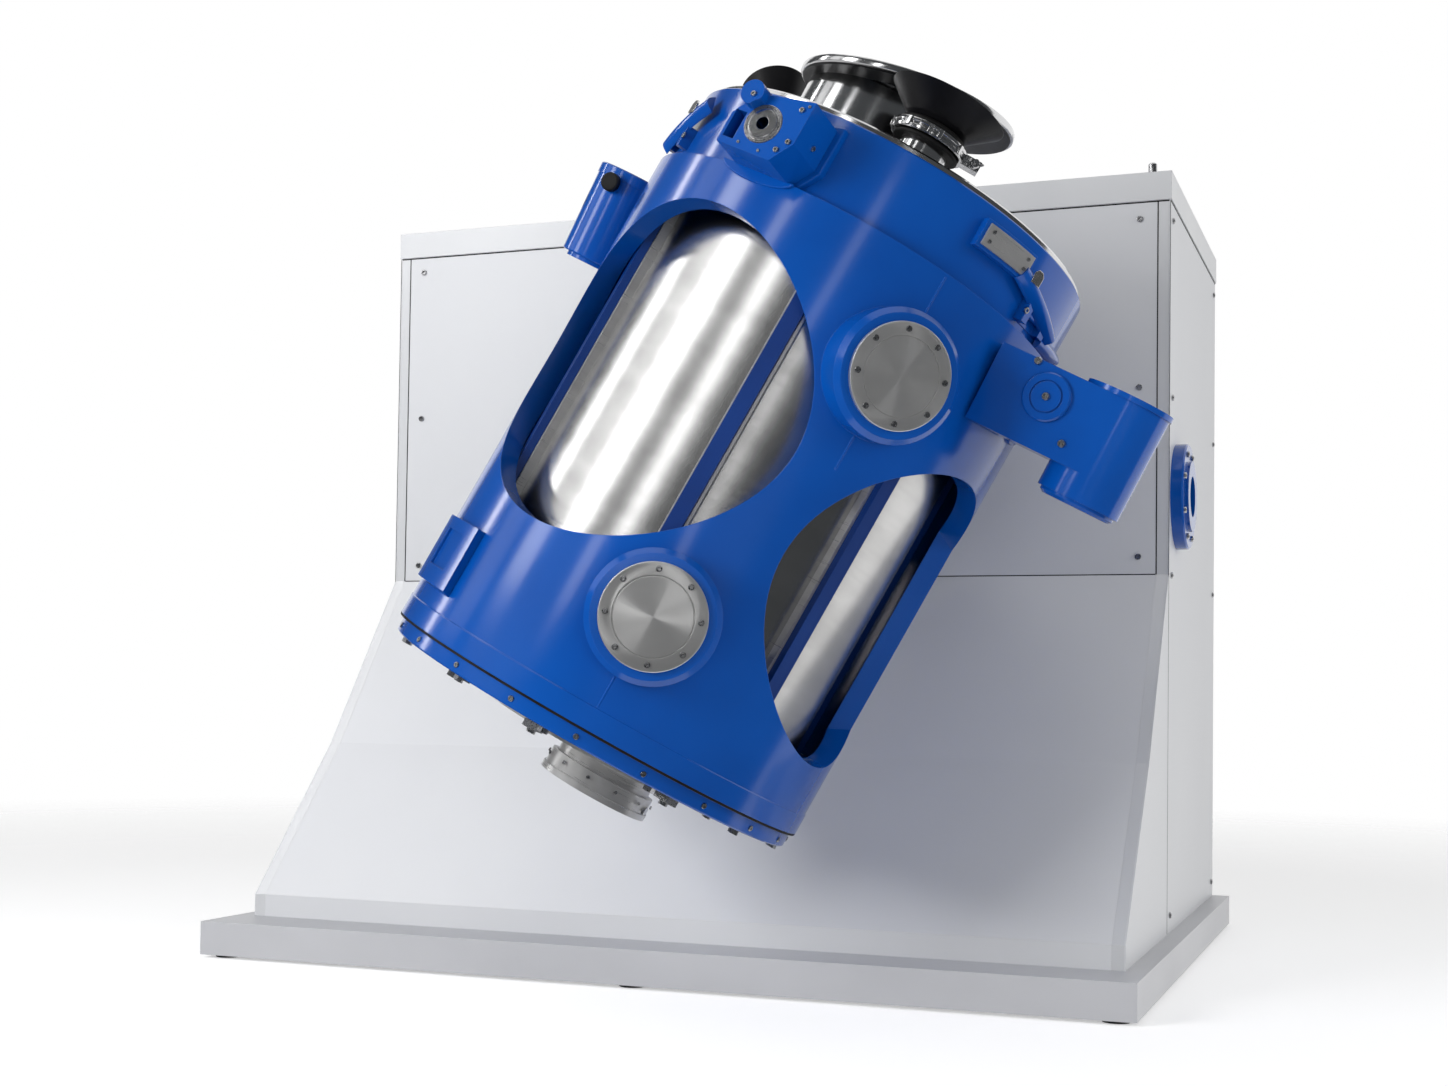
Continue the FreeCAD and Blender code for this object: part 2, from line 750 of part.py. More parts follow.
def make_barring_shaft():
    """Shaft that turns the rotor by hand, from the gearbox to inside the flange."""
    start = d.rotor_x + d.gearbox_width / 2 - d.barring_engagement
    length = "body_width / 2 + flange_depth - barring_recess - rotor_x - gearbox_width / 2"
    shaft = turned("barring_bar", [("0", "0"), ("barring_radius", "0"),
                                   ("barring_radius", f"{length} + barring_engagement - 2"),
                                   ("barring_radius - 2", f"{length} + barring_engagement"),
                                   ("0", f"{length} + barring_engagement")])
    node("barring_shaft", shaft, Placement(Vector(start, d.flange_y, d.flange_z), ALONG_X))


# Rotor


def make_rotor_shaft():
    """Flanged shaft that carries the yoke, and the inner ring of its bearing."""
    plate = "hub_flange_depth"
    boss = f"({plate} + hub_boss_depth)"
    seat = "(hub_gap + housing_flange_depth + housing_depth - bearing_depth)"
    shaft = turned("shaft_turned", [("0", "0"), ("hub_radius", "0"), ("hub_radius", plate),
                                    ("hub_boss_radius", plate),
                                    ("hub_boss_radius", boss), ("rotor_shaft_radius", boss),
                                    ("rotor_shaft_radius", f"{boss} + {seat} + shaft_tail"),
                                    ("0", f"{boss} + {seat} + shaft_tail")])
    face = hub_face()
    place = rotor_place.multiply(Placement(Vector(0, face, 0), ALONG_Y))
    node("rotor_shaft", shaft, place)
    inner = turned("inner_ring", [("rotor_shaft_radius", "0"), ("bearing_ball_line", "0"),
                                  ("bearing_ball_line", "bearing_depth"),
                                  ("rotor_shaft_radius", "bearing_depth")])
    height = (d.hub_flange_depth + d.hub_boss_depth + d.hub_gap + d.housing_flange_depth
              + d.housing_depth - d.bearing_depth)
    node("main_bearing_inner_ring", inner, place.multiply(shifted(0, 0, height)))


def hub_face():
    """Distance along the rotor axis at which the shaft's flange begins."""
    return d.standoff - d.housing_flange_depth - d.hub_gap - d.hub_boss_depth - d.hub_flange_depth


HUB_FACE = "(standoff - housing_flange_depth - hub_gap - hub_boss_depth - hub_flange_depth)"


def make_yoke():
    """C-shaped casting: half ring, knuckle for the right trunnion, spine and hub plate."""
    top = "(ring_under + ring_height)"
    ring = turned("yoke_ring", [("ring_inner", "ring_under + ring_chamfer"),
                                ("ring_inner + ring_chamfer", "ring_under"),
                                ("ring_outer - ring_chamfer", "ring_under"),
                                ("ring_outer", "ring_under + ring_chamfer"),
                                ("ring_outer", f"{top} - ring_chamfer"),
                                ("ring_outer - ring_chamfer", top),
                                ("ring_inner + ring_chamfer", top),
                                ("ring_inner", f"{top} - ring_chamfer")], "180")
    ring.Placement = shifted(0, d.trunnion_offset, 0)
    knuckle = block("knuckle", ("yoke_clear / 2", "block_back", "knuckle_under"),
                    ("knuckle_reach", "knuckle_back", "knuckle_top"))
    rear = "(trunnion_offset + ring_outer)"
    spine = padded("yoke_spine", "YZ_Plane",
                   [(f"{rear} - ring_chamfer", "ring_under"), (f"{rear} - ring_chamfer", "spine_top"),
                    (f"{rear} + spine_depth", "spine_top"), (HUB_FACE, "hub_radius"),
                    (HUB_FACE, "-hub_radius"), (f"{HUB_FACE} - spine_depth", "-hub_radius"),
                    (f"{HUB_FACE} - spine_depth", "0")], "spine_width")
    plate = cylinder("yoke_hub_plate", "hub_radius", "spine_depth / 2",
                     ("0", f"{HUB_FACE} - spine_depth / 2", "0"), ALONG_Y)
    solid = fuse("yoke_cast", ring, knuckle, spine, plate)
    clear = cylinder("yoke_clearance", "yoke_clear", "knuckle_top + hub_radius",
                     ("0", "trunnion_offset", "0"))
    bore = cylinder("knuckle_bore", "trunnion_radius + running_fit + bush_wall", "yoke_clear",
                    ("yoke_clear / 2", "trunnion_offset", "trunnion_height"), ALONG_X)
    seat = cylinder("barrel_seat", "barrel_radius", "barrel_top",
                    ("barrel_t", "trunnion_offset", "0"))
    node("yoke", cut("yoke_machined", solid, clear, bore, seat), rotor_place)


def make_drive_block():
    """Worm-gear block with its half-round barrel, which rocks the cage."""
    middle = "((block_front + block_back) / 2)"
    radius = "((block_back - block_front) / 2)"
    body = block("block_body", ("yoke_clear / 2", "block_front", "block_under"),
                 ("half_round_t", "block_back", "block_top"))
    end = cylinder("block_half_round", radius, "block_top - half_round_under",
                   ("half_round_t", middle, "half_round_under"))
    clear = cylinder("block_clearance", "yoke_clear", "knuckle_top + hub_radius",
                     ("0", "trunnion_offset", "0"))
    node("rocking_drive_block", cut("block_machined", fuse("block_solid", body, end), clear),
         rotor_place)
    front = Placement(Vector(d.front_cap_t, d.block_front, d.front_cap_u), TOWARDS_FRONT)
    cap = turned("front_cap", [("0", "0"), ("front_cap_radius", "0"),
                               ("front_cap_radius", "front_cap_proud * 0.6"),
                               ("front_cap_radius - 3", "front_cap_proud"),
                               ("front_cap_ring + 3", "front_cap_proud"),
                               ("front_cap_ring + 3", "front_cap_proud * 0.7"),
                               ("front_cap_ring", "front_cap_proud * 0.7"),
                               ("front_cap_ring", "front_cap_proud * 1.2"),
                               ("0", "front_cap_proud * 1.2")])
    node("drive_block_front_cap", cap, rotor_place.multiply(front))
    under = turned("half_round_under_cap", [("0", "0"), ("half_round_cap * 0.9", "0"),
                                            ("half_round_cap", "half_round_cap_depth * 0.5"),
                                            ("half_round_cap", "half_round_cap_depth"),
                                            ("0", "half_round_cap_depth")])
    over = cylinder("half_round_flange_disc", "half_round_flange", "half_round_rise")
    axis = (d.block_front + d.block_back) / 2
    low = rotor_place.multiply(shifted(d.half_round_t, axis,
                                       d.half_round_under - d.half_round_cap_depth))
    high = rotor_place.multiply(shifted(d.half_round_t, axis, d.block_top))
    node("half_round_caps", together("round_caps", (under, [low]), (over, [high])))
    head = screw_head("block_screw", "screw_radius", "screw_head")
    heads = [front.multiply(shifted(0, 0, d.front_cap_proud * 1.2)),
             front.multiply(shifted(-d.front_cap_radius, d.front_cap_radius * 1.15, 0)),
             front.multiply(shifted(d.front_cap_radius * 1.4, -d.front_cap_radius * 1.4, 0))]
    heads = [rotor_place.multiply(spot) for spot in heads]
    bolt = screw_head("yoke_bolt", "yoke_bolt_radius", "yoke_bolt_radius", False)
    hub = rotor_place.multiply(Placement(Vector(0, hub_face() + d.hub_flange_depth, 0), ALONG_Y))
    bolts = [hub.multiply(spot) for spot in
             ring_of(d.yoke_bolts, d.yoke_bolt_circle, 0, 180.0 / d.yoke_bolts)]
    node("rotor_bolts", together("rotor_heads", (head, heads), (bolt, bolts)))


def make_left_barrel():
    """Round housing of the left trunnion with its band, cap and locking knob."""
    height = "(barrel_top - barrel_under)"
    turned_barrel = turned("barrel_turned",
                           [("0", "0"), ("barrel_radius - round_off", "0"), ("barrel_radius", "round_off"),
                            ("barrel_radius", f"{height} - barrel_band_depth"),
                            ("barrel_band", f"{height} - barrel_band_depth"),
                            ("barrel_band", f"{height} - round_off"),
                            ("barrel_band - round_off", height),
                            ("0", height)])
    turned_barrel.Placement = shifted(d.barrel_t, d.trunnion_offset, d.barrel_under)
    bore = cylinder("barrel_bore", "trunnion_radius + running_fit + bush_wall",
                    "pin_length + pin_end_gap",
                    ("-cage_radius + cage_wall - pin_length - pin_end_gap", "trunnion_offset",
                     "trunnion_height"), ALONG_X)
    node("left_trunnion_barrel", cut("barrel_bored", turned_barrel, bore), rotor_place)
    cap = turned("barrel_cap", [("barrel_cap_hole", "0"), ("barrel_cap_radius", "0"),
                                ("barrel_cap_radius", "barrel_cap_depth"),
                                ("barrel_cap_hole", "barrel_cap_depth")])
    node("left_barrel_cap", cap, rotor_place.multiply(
        shifted(d.barrel_t, d.trunnion_offset, d.barrel_under - d.barrel_cap_depth)))
    knob = turned("lock_knob", [("0", "0"), ("knob_radius * 0.5", "0"),
                                ("knob_radius * 0.5", "knob_length * 0.3"),
                                ("knob_radius", "knob_length * 0.4"),
                                ("knob_radius", "knob_length * 0.9"),
                                ("knob_radius * 0.85", "knob_length"), ("0", "knob_length")])
    knob_place = Placement(Vector(d.barrel_t, d.trunnion_offset - d.barrel_radius, d.knob_height),
                           TOWARDS_FRONT)
    node("left_barrel_knob", knob, rotor_place.multiply(knob_place))


def make_bushes():
    """Bronze bushes in which the two trunnion pins rock."""
    inner = "trunnion_radius + running_fit"
    right = tube("right_bush", f"{inner} + bush_wall", inner, "knuckle_reach - yoke_clear")
    left = tube("left_bush", f"{inner} + bush_wall", inner,
                "pin_length + cage_radius - cage_wall - yoke_clear - pin_end_gap")
    start = Placement(Vector(d.yoke_clear, d.trunnion_offset, d.trunnion_height), ALONG_X)
    other = Placement(Vector(-d.yoke_clear, d.trunnion_offset, d.trunnion_height),
                      ALONG_X.inverted())
    node("trunnion_bushes", together("bushes", (right, [rotor_place.multiply(start)]),
                                     (left, [rotor_place.multiply(other)])))


# Cage

WINDOWS = (("front", "window_radius", "front_window_angle", "front_window_height"),
           ("side", "low_window_radius", "side_window_angle", "low_window_height"),
           ("back", "low_window_radius", "back_window_angle", "low_window_height"))
PORTHOLES = (("upper", "upper_porthole_angle", "upper_porthole_height"),
             ("lower", "lower_porthole_angle", "lower_porthole_height"))
WITHIN = "(cage_radius - cage_wall)"
PORTHOLE_FACE = "(cage_radius + porthole_rise)"


def window_bar(name, radius, angle, height, beyond):
    """Bar that fills a round window; the side window ends at a straight edge."""
    bar = radial_cylinder(name, radius, "0", "cage_radius * 1.2", angle, height)
    if angle != "side_window_angle":
        return bar
    part = sector(f"{name}_slice", "cage_radius / 2", "cage_radius * 1.2", "shell_low",
                  "shell_top", "side_window_start", f"side_window_end + {beyond}")
    return common(f"{name}_clipped", bar, part)


def make_cage_shell():
    """Rolled shell with a collar, a top ledge, lipped round windows and porthole bosses."""
    barrel = turned("shell_barrel",
                    [(WITHIN, "shell_low"), ("cage_radius", "shell_low"),
                     ("cage_radius", "shell_low + seam_step / 2"),
                     ("collar_radius", "shell_low + seam_step / 2"),
                     ("collar_radius", "shell_low + collar_height"),
                     ("cage_radius", "shell_low + collar_height + seam_step / 2"),
                     ("cage_radius", "shell_top"),
                     ("top_ring_radius - ledge_wall", "shell_top"),
                     ("top_ring_radius - ledge_wall", "shell_top - ledge_wall"),
                     (WITHIN, "shell_top - ledge_wall")])
    solids = [barrel]
    lip_zone = tube("lip_zone", "cage_radius", "cage_radius - window_lip_depth",
                    "shell_top - shell_low", ("0", "0", "shell_low"))
    for name, radius, angle, height in WINDOWS:
        lip = window_bar(f"{name}_lip", f"{radius} + window_lip_wall", angle, height,
                         "window_lip_turn")
        solids.append(common(f"{name}_lip_wall", lip, lip_zone))
    within = cylinder("shell_within", WITHIN, "shell_top - shell_low", ("0", "0", "shell_low"))
    for name, angle, height in PORTHOLES:
        boss = radial_cylinder(f"{name}_boss_body", "porthole_boss_radius", "cage_radius / 2",
                               f"{PORTHOLE_FACE} - porthole_chamfer", angle, height)
        crown = primitive("Cone", f"{name}_boss_crown",
                          (f"({PORTHOLE_FACE} - porthole_chamfer) * sin({angle})",
                           f"-({PORTHOLE_FACE} - porthole_chamfer) * cos({angle})", height),
                          Rotation(Vector(0, 0, 1), getattr(d, angle)) * TOWARDS_FRONT,
                          Radius1="porthole_boss_radius",
                          Radius2="porthole_boss_radius - porthole_chamfer",
                          Height="porthole_chamfer")
        solids.append(cut(f"{name}_boss", fuse(f"{name}_boss_full", boss, crown), within))
    for index, turn in enumerate((ALONG_X, ALONG_X.inverted())):
        side = 1 - 2 * index
        pad = cylinder(f"pin_pad_{index}", "pin_pad_radius",
                       "cage_radius / 2 + pin_pad_rise",
                       (f"{side} * cage_radius / 2", "0", TRUNNION_RISE), turn)
        solids.append(cut(f"pin_pad_trimmed_{index}", pad, within))
    holes = [window_bar(f"{name}_opening", radius, angle, height, "0")
             for name, radius, angle, height in WINDOWS]
    holes += [radial_cylinder(f"{name}_bore", "porthole_bore", "cage_radius / 2",
                              "cage_radius * 1.2", angle, height)
              for name, angle, height in PORTHOLES]
    holes.append(cylinder("pin_bore", "trunnion_radius", "cage_radius * 3",
                          ("-cage_radius * 1.5", "0", TRUNNION_RISE), ALONG_X))
    node("cage_shell", cut("shell_machined", fuse("shell_welded", *solids), *holes), cage_place)


def make_portholes():
    """Turned steel covers of the two portholes and their cap screws."""
    groove = "cover_depth * 0.75"
    cover = turned("porthole_cover",
                   [("0", "0"), ("cover_radius", "0"), ("cover_radius", "cover_depth - 2"),
                    ("cover_radius - 2", "cover_depth"), ("cover_ring + cover_groove", "cover_depth"),
                    ("cover_ring + cover_groove", groove), ("cover_ring", groove),
                    ("cover_ring", "cover_depth"), ("0", "cover_depth")])
    faces = [facing(getattr(d, angle), d.cage_radius + d.porthole_rise, getattr(d, height))
             for _, angle, height in PORTHOLES]
    node("porthole_covers", copies("covers", cover, [cage_place.multiply(f) for f in faces]))
    head = screw_head("cover_screw", "cover_screw_radius", "cover_screw_head")
    spots = [cage_place.multiply(face).multiply(spot) for face in faces
             for spot in ring_of(d.cover_screws, d.cover_screw_circle, d.cover_depth,
                                 180.0 / d.cover_screws)]
    node("porthole_screws", copies("cover_heads", head, spots))


def make_trunnion_pins():
    pin = turned("trunnion_pin", [("0", "0"), ("trunnion_radius", "0"),
                                  ("trunnion_radius", "pin_length - round_off"),
                                  ("trunnion_radius - round_off", "pin_length"), ("0", "pin_length")])
    start = d.cage_radius - d.cage_wall
    spots = [Placement(Vector(start, 0, trunnion_rise), ALONG_X),
             Placement(Vector(-start, 0, trunnion_rise), ALONG_X.inverted())]
    node("trunnion_pins", copies("pins", pin, [cage_place.multiply(s) for s in spots]))


def make_end_rings():
    """Blue ring on the shell's ledge, and the ring bolted under the shell."""
    wall = "(top_ring_radius - ledge_wall)"
    top = turned("ring_top", [(wall, "shell_top"), ("top_ring_radius", "shell_top"),
                              ("top_ring_radius", "top_ring_top - round_off"),
                              ("top_ring_radius - round_off", "top_ring_top"),
                              ("top_ring_mouth", "top_ring_top"),
                              ("top_ring_mouth", "top_ring_top - ledge_wall"),
                              (wall, "top_ring_top - ledge_wall")])
    node("top_ring", top, cage_place)
    low = "(shell_low - bottom_ring_depth)"
    inner = "(cage_radius - 2 * cage_wall)"
    bottom = turned("ring_bottom", [("bottom_ring_bore", low), ("bottom_ring_radius - round_off", low),
                                    ("bottom_ring_radius", f"{low} + round_off"),
                                    ("bottom_ring_radius", "shell_low - seam_step"),
                                    (f"{WITHIN} + 2", "shell_low - seam_step"),
                                    (f"{WITHIN} + 2", "shell_low"), (inner, "shell_low"),
                                    (inner, f"{low} + bottom_ring_web"),
                                    ("bottom_ring_bore", f"{low} + bottom_ring_web")])
    node("bottom_ring", bottom, cage_place)
    head = screw_head("ring_screw", "cover_screw_radius", "cover_screw_head")
    nut = primitive("Prism", "ring_nut", Circumradius="ring_nut_radius", Height="ring_nut_height")
    nut.Polygon = 6
    height = d.shell_low - d.bottom_ring_depth / 2 - d.seam_step / 2
    heads = [facing(360.0 * index / d.ring_screws, d.bottom_ring_radius, height)
             for index in range(int(d.ring_screws))]
    under = d.shell_low - d.bottom_ring_depth - d.ring_nut_height
    nuts = ring_of(d.ring_nuts, d.ring_nut_circle, under, d.ring_nut_turn)
    node("bottom_ring_bolts", together("ring_fasteners",
                                       (head, [cage_place.multiply(spot) for spot in heads]),
                                       (nut, [cage_place.multiply(spot) for spot in nuts])))


RAIL_ANGLES = (-55.0, 12.5, 59.0, 127.0, 180.0, -122.0)


def make_rails():
    """Blue rails on the shell and the steel wear strips of the vessel beside them."""
    length = "(strip_top - strip_low)"
    bar = block("rail_bar", ("rail_inner", "-rail_width / 2", "strip_low"),
                ("rail_outer", "rail_width / 2", "strip_top"))
    feet = [block(f"rail_foot_{index}", ("rail_inner", "-rail_width / 2", low),
                  ("cage_radius", "rail_width / 2", f"{low} + rail_end"))
            for index, low in enumerate(("strip_low", "strip_top - rail_end"))]
    within = tube("rail_zone", f"{WITHIN} - running_fit", "rail_inner", length,
                  ("0", "0", "strip_low"))
    rail = common("rail", fuse("rail_welded", bar, *feet), within)
    strip_bar = block("strip_bar", ("vessel_radius / 2", "-strip_width / 2", "strip_low"),
                      ("rail_inner", "strip_width / 2", "strip_top"))
    strip_zone = tube("strip_zone", "strip_radius", "vessel_radius", length,
                      ("0", "0", "strip_low"))
    strip = common("strip", strip_bar, strip_zone)
    spins = [cage_place.multiply(Placement(Vector(), Rotation(Vector(0, 0, 1), angle - 90)))
             for angle in RAIL_ANGLES]
    node("guide_rails", copies("rails", rail, spins))
    node("vessel_wear_strips", copies("strips_round_vessel", strip, spins))


def make_vessel():
    """Thin-walled vessel with a rim flange and a cone towards the outlet."""
    inner = "(vessel_radius - vessel_wall)"
    foot = "(shell_low - bottom_ring_depth)"
    collar = f"({foot} + 2 * bottom_ring_web)"
    vessel = turned("vessel_turned",
                    [("vessel_cone_foot", foot), ("vessel_cone_foot", collar),
                     ("vessel_radius", "vessel_cone_top"),
                     ("vessel_radius", "top_ring_top - vessel_flange_depth"),
                     ("vessel_flange", "top_ring_top - vessel_flange_depth"),
                     ("vessel_flange", "top_ring_top"), (inner, "top_ring_top"),
                     (inner, "vessel_cone_top"), ("vessel_cone_foot - vessel_wall", collar),
                     ("vessel_cone_foot - vessel_wall", foot)])
    node("mixing_vessel", vessel, cage_place)
    lid = turned("lid_turned", [("0", "top_ring_top"), ("lid_radius", "top_ring_top"),
                                ("lid_radius", "top_ring_top + lid_depth - lid_chamfer"),
                                ("lid_radius - lid_chamfer", "top_ring_top + lid_depth"),
                                ("0", "top_ring_top + lid_depth")])
    neck = cylinder("lid_neck_hole", "neck_radius - neck_wall", "lid_depth",
                    ("neck_t", "neck_b", "top_ring_top"))
    port = cylinder("lid_port_hole", "port_pipe - port_wall", "lid_depth",
                    ("port_t", "port_b", "top_ring_top"))
    vent = cylinder("lid_vent_hole", "vent_pipe / 2", "lid_depth",
                    ("vent_t", "vent_b", "top_ring_top"))
    node("vessel_lid", cut("lid_bored", lid, neck, port, vent), cage_place)


LID_TOP = "(top_ring_top + lid_depth)"
port_place = cage_place.multiply(shifted(d.port_t, d.port_b, 0))


def vent_base():
    """Place on the lid from which the splayed pipe rises."""
    lean = Rotation(Vector(0, 0, 1), d.vent_turn) * Rotation(Vector(0, 1, 0), d.vent_splay)
    return Placement(Vector(d.vent_t, d.vent_b, d.top_ring_top + d.lid_depth), lean)


def make_lid_pipes():
    """Pipes welded to the lid: loading neck, clamped port and splayed vent."""
    bore = "(neck_radius - neck_wall)"
    tall = "disc_low + neck_radius"
    pipe = turned("neck_turned", [(bore, LID_TOP), ("neck_foot_radius", LID_TOP),
                                  ("neck_foot_radius", f"{LID_TOP} + neck_foot_depth"),
                                  ("neck_radius", f"{LID_TOP} + neck_foot_depth"),
                                  ("neck_radius", tall), (bore, tall)])
    above = drum("above_disc", "disc_radius * 2", "disc_radius * 2")
    above.Placement = shifted(-d.neck_t, -d.neck_b, 0).multiply(disc_place())
    neck = cut("neck_slanted", pipe, above)
    middle = "(clamp_low + clamp_height / 2)"
    port = "(port_pipe - port_wall)"
    ferrule = turned("port_turned", [(port, LID_TOP), ("port_pipe", LID_TOP),
                                     ("port_pipe", f"{middle} - port_flange_depth"),
                                     ("port_flange", f"{middle} - port_flange_depth / 2"),
                                     ("port_flange", middle), (port, middle)])
    drop = "vent_pipe * 2"
    vent = "(vent_pipe - port_wall)"
    pipe = turned("vent_turned", [(vent, f"-{drop}"), ("vent_pipe", f"-{drop}"),
                                  ("vent_pipe", "vent_pipe_length"), (vent, "vent_pipe_length")])
    pipe.Placement = vent_base()
    reach = "vent_pipe * 6"
    below = block("vent_below", (f"vent_t - {reach}", f"vent_b - {reach}", f"{LID_TOP} - {reach}"),
                  (f"vent_t + {reach}", f"vent_b + {reach}", LID_TOP))
    stub = cut("vent_trimmed", pipe, below)
    node("lid_pipes", together("pipes", (neck, [cage_place.multiply(shifted(d.neck_t, d.neck_b, 0))]),
                               (ferrule, [port_place]), (stub, [cage_place])))


def disc_place():
    """Place of the slanted disc's underside in the cage axes."""
    sideways = Rotation(Vector(0, 1, 0), -d.disc_rise_right)
    forwards = Rotation(Vector(1, 0, 0), -d.disc_rise_front)
    return Placement(Vector(d.disc_t, d.disc_b, d.disc_low), sideways * forwards)


def make_loading_disc():
    """Round cover on the slanted end of the loading neck."""
    edge = "round_off"
    disc = turned("disc_turned", [("0", "0"), (f"disc_radius - {edge}", "0"),
                                  ("disc_radius", edge), ("disc_radius", f"disc_depth - {edge}"),
                                  (f"disc_radius - {edge}", "disc_depth"), ("0", "disc_depth")])
    node("loading_disc", disc, cage_place.multiply(disc_place()))


def make_port():
    """Funnel on the clamped port, its clamp, clamp bolt and wing nut."""
    bore = "(port_pipe - port_wall)"
    middle = "(clamp_low + clamp_height / 2)"
    funnel = turned("funnel_turned",
                    [(bore, middle), ("port_flange", middle),
                     ("port_flange", f"{middle} + port_flange_depth / 2"),
                     ("port_pipe + 2", f"{middle} + port_flange_depth"),
                     ("port_pipe + 2", "clamp_low + clamp_height * 1.6"),
                     ("funnel_foot", "clamp_low + clamp_height * 2"),
                     ("funnel_mouth", "clamp_low + clamp_height * 2 + funnel_rise"),
                     ("funnel_mouth - funnel_wall", "clamp_low + clamp_height * 2 + funnel_rise"),
                     ("funnel_foot - funnel_wall", "clamp_low + clamp_height * 2 + funnel_wall"),
                     (bore, "clamp_low + clamp_height * 1.6 + funnel_wall")])
    node("port_funnel", funnel, port_place)
    ring = turned("clamp_turned", [("port_flange", "clamp_low"), ("clamp_radius", "clamp_low"),
                                   ("clamp_radius", "clamp_low + clamp_height"),
                                   ("port_flange", "clamp_low + clamp_height")])
    lug = block("clamp_lug", ("clamp_radius - clamp_lug_root", "-clamp_lug_half", "clamp_low"),
                ("clamp_radius + clamp_lug_reach", "clamp_lug_half", "clamp_low + clamp_height"))
    hole = cylinder("clamp_lug_hole", "clamp_bolt_radius", "clamp_height * 2",
                    ("clamp_radius + clamp_lug_reach - clamp_bolt_inset", "-clamp_height", middle),
                    ALONG_Y)
    inside = cylinder("clamp_inside", "port_flange", "clamp_height", ("0", "0", "clamp_low"))
    spin = Placement(Vector(), Rotation(Vector(0, 0, 1), d.clamp_turn))
    clamp = cut("clamp_bored", fuse("clamp_solid", ring, lug), hole, inside)
    spun = port_place.multiply(spin)
    bolt = turned("clamp_pin", [("0", "0"), ("clamp_bolt_radius * 1.8", "0"),
                                ("clamp_bolt_radius * 1.8", "clamp_bolt_radius"),
                                ("clamp_bolt_radius", "clamp_bolt_radius"),
                                ("clamp_bolt_radius", "clamp_bolt_length"),
                                ("0", "clamp_bolt_length")])
    centre = d.clamp_low + d.clamp_height / 2
    bolt_line = d.clamp_radius + d.clamp_lug_reach - d.clamp_bolt_inset
    towards = Placement(Vector(bolt_line, d.clamp_lug_half + d.clamp_bolt_radius, centre),
                        TOWARDS_FRONT)
    node("port_clamp", together("clamp_and_bolt", (clamp, [spun]), (bolt, [spun.multiply(towards)])))
    hub = tube("wing_hub", "clamp_bolt_radius * 2", "clamp_bolt_radius + running_fit", "wing_hub_height")
    wings = [block(f"wing_{side}", (low, "-clamp_bolt_radius / 2", "wing_base"),
                   (high, "clamp_bolt_radius / 2", "wing_height"))
             for side, (low, high) in enumerate([("-wing_span", "-clamp_bolt_radius * 1.2"),
                                                 ("clamp_bolt_radius * 1.2", "wing_span")])]
    room = cylinder("wing_room", "clamp_bolt_radius * 1.9", "wing_height",
                    ("0", "0", "wing_hub_height"))
    wing_bore = cylinder("wing_bore", "clamp_bolt_radius + running_fit", "wing_height")
    nut = cut("wing_nut_cut", fuse("wing_nut_solid", hub, *wings), room, wing_bore)
    front = Placement(Vector(bolt_line, -d.clamp_lug_half - d.wing_nut_gap, centre), TOWARDS_FRONT)
    node("wing_nut", nut, spun.multiply(front))


def make_vent_funnel():
    """Second funnel, on the splayed pipe at the back of the lid."""
    bore = "(vent_pipe - port_wall)"
    cone = turned("vent_cone_turned",
                  [(bore, "vent_pipe_length"), ("vent_pipe + 4", "vent_pipe_length"),
                   ("vent_mouth", "vent_pipe_length + vent_cone_length"),
                   ("vent_mouth - funnel_wall", "vent_pipe_length + vent_cone_length"),
                   (bore, "vent_pipe_length + funnel_wall")])
    node("vent_funnel", cone, cage_place.multiply(vent_base()))


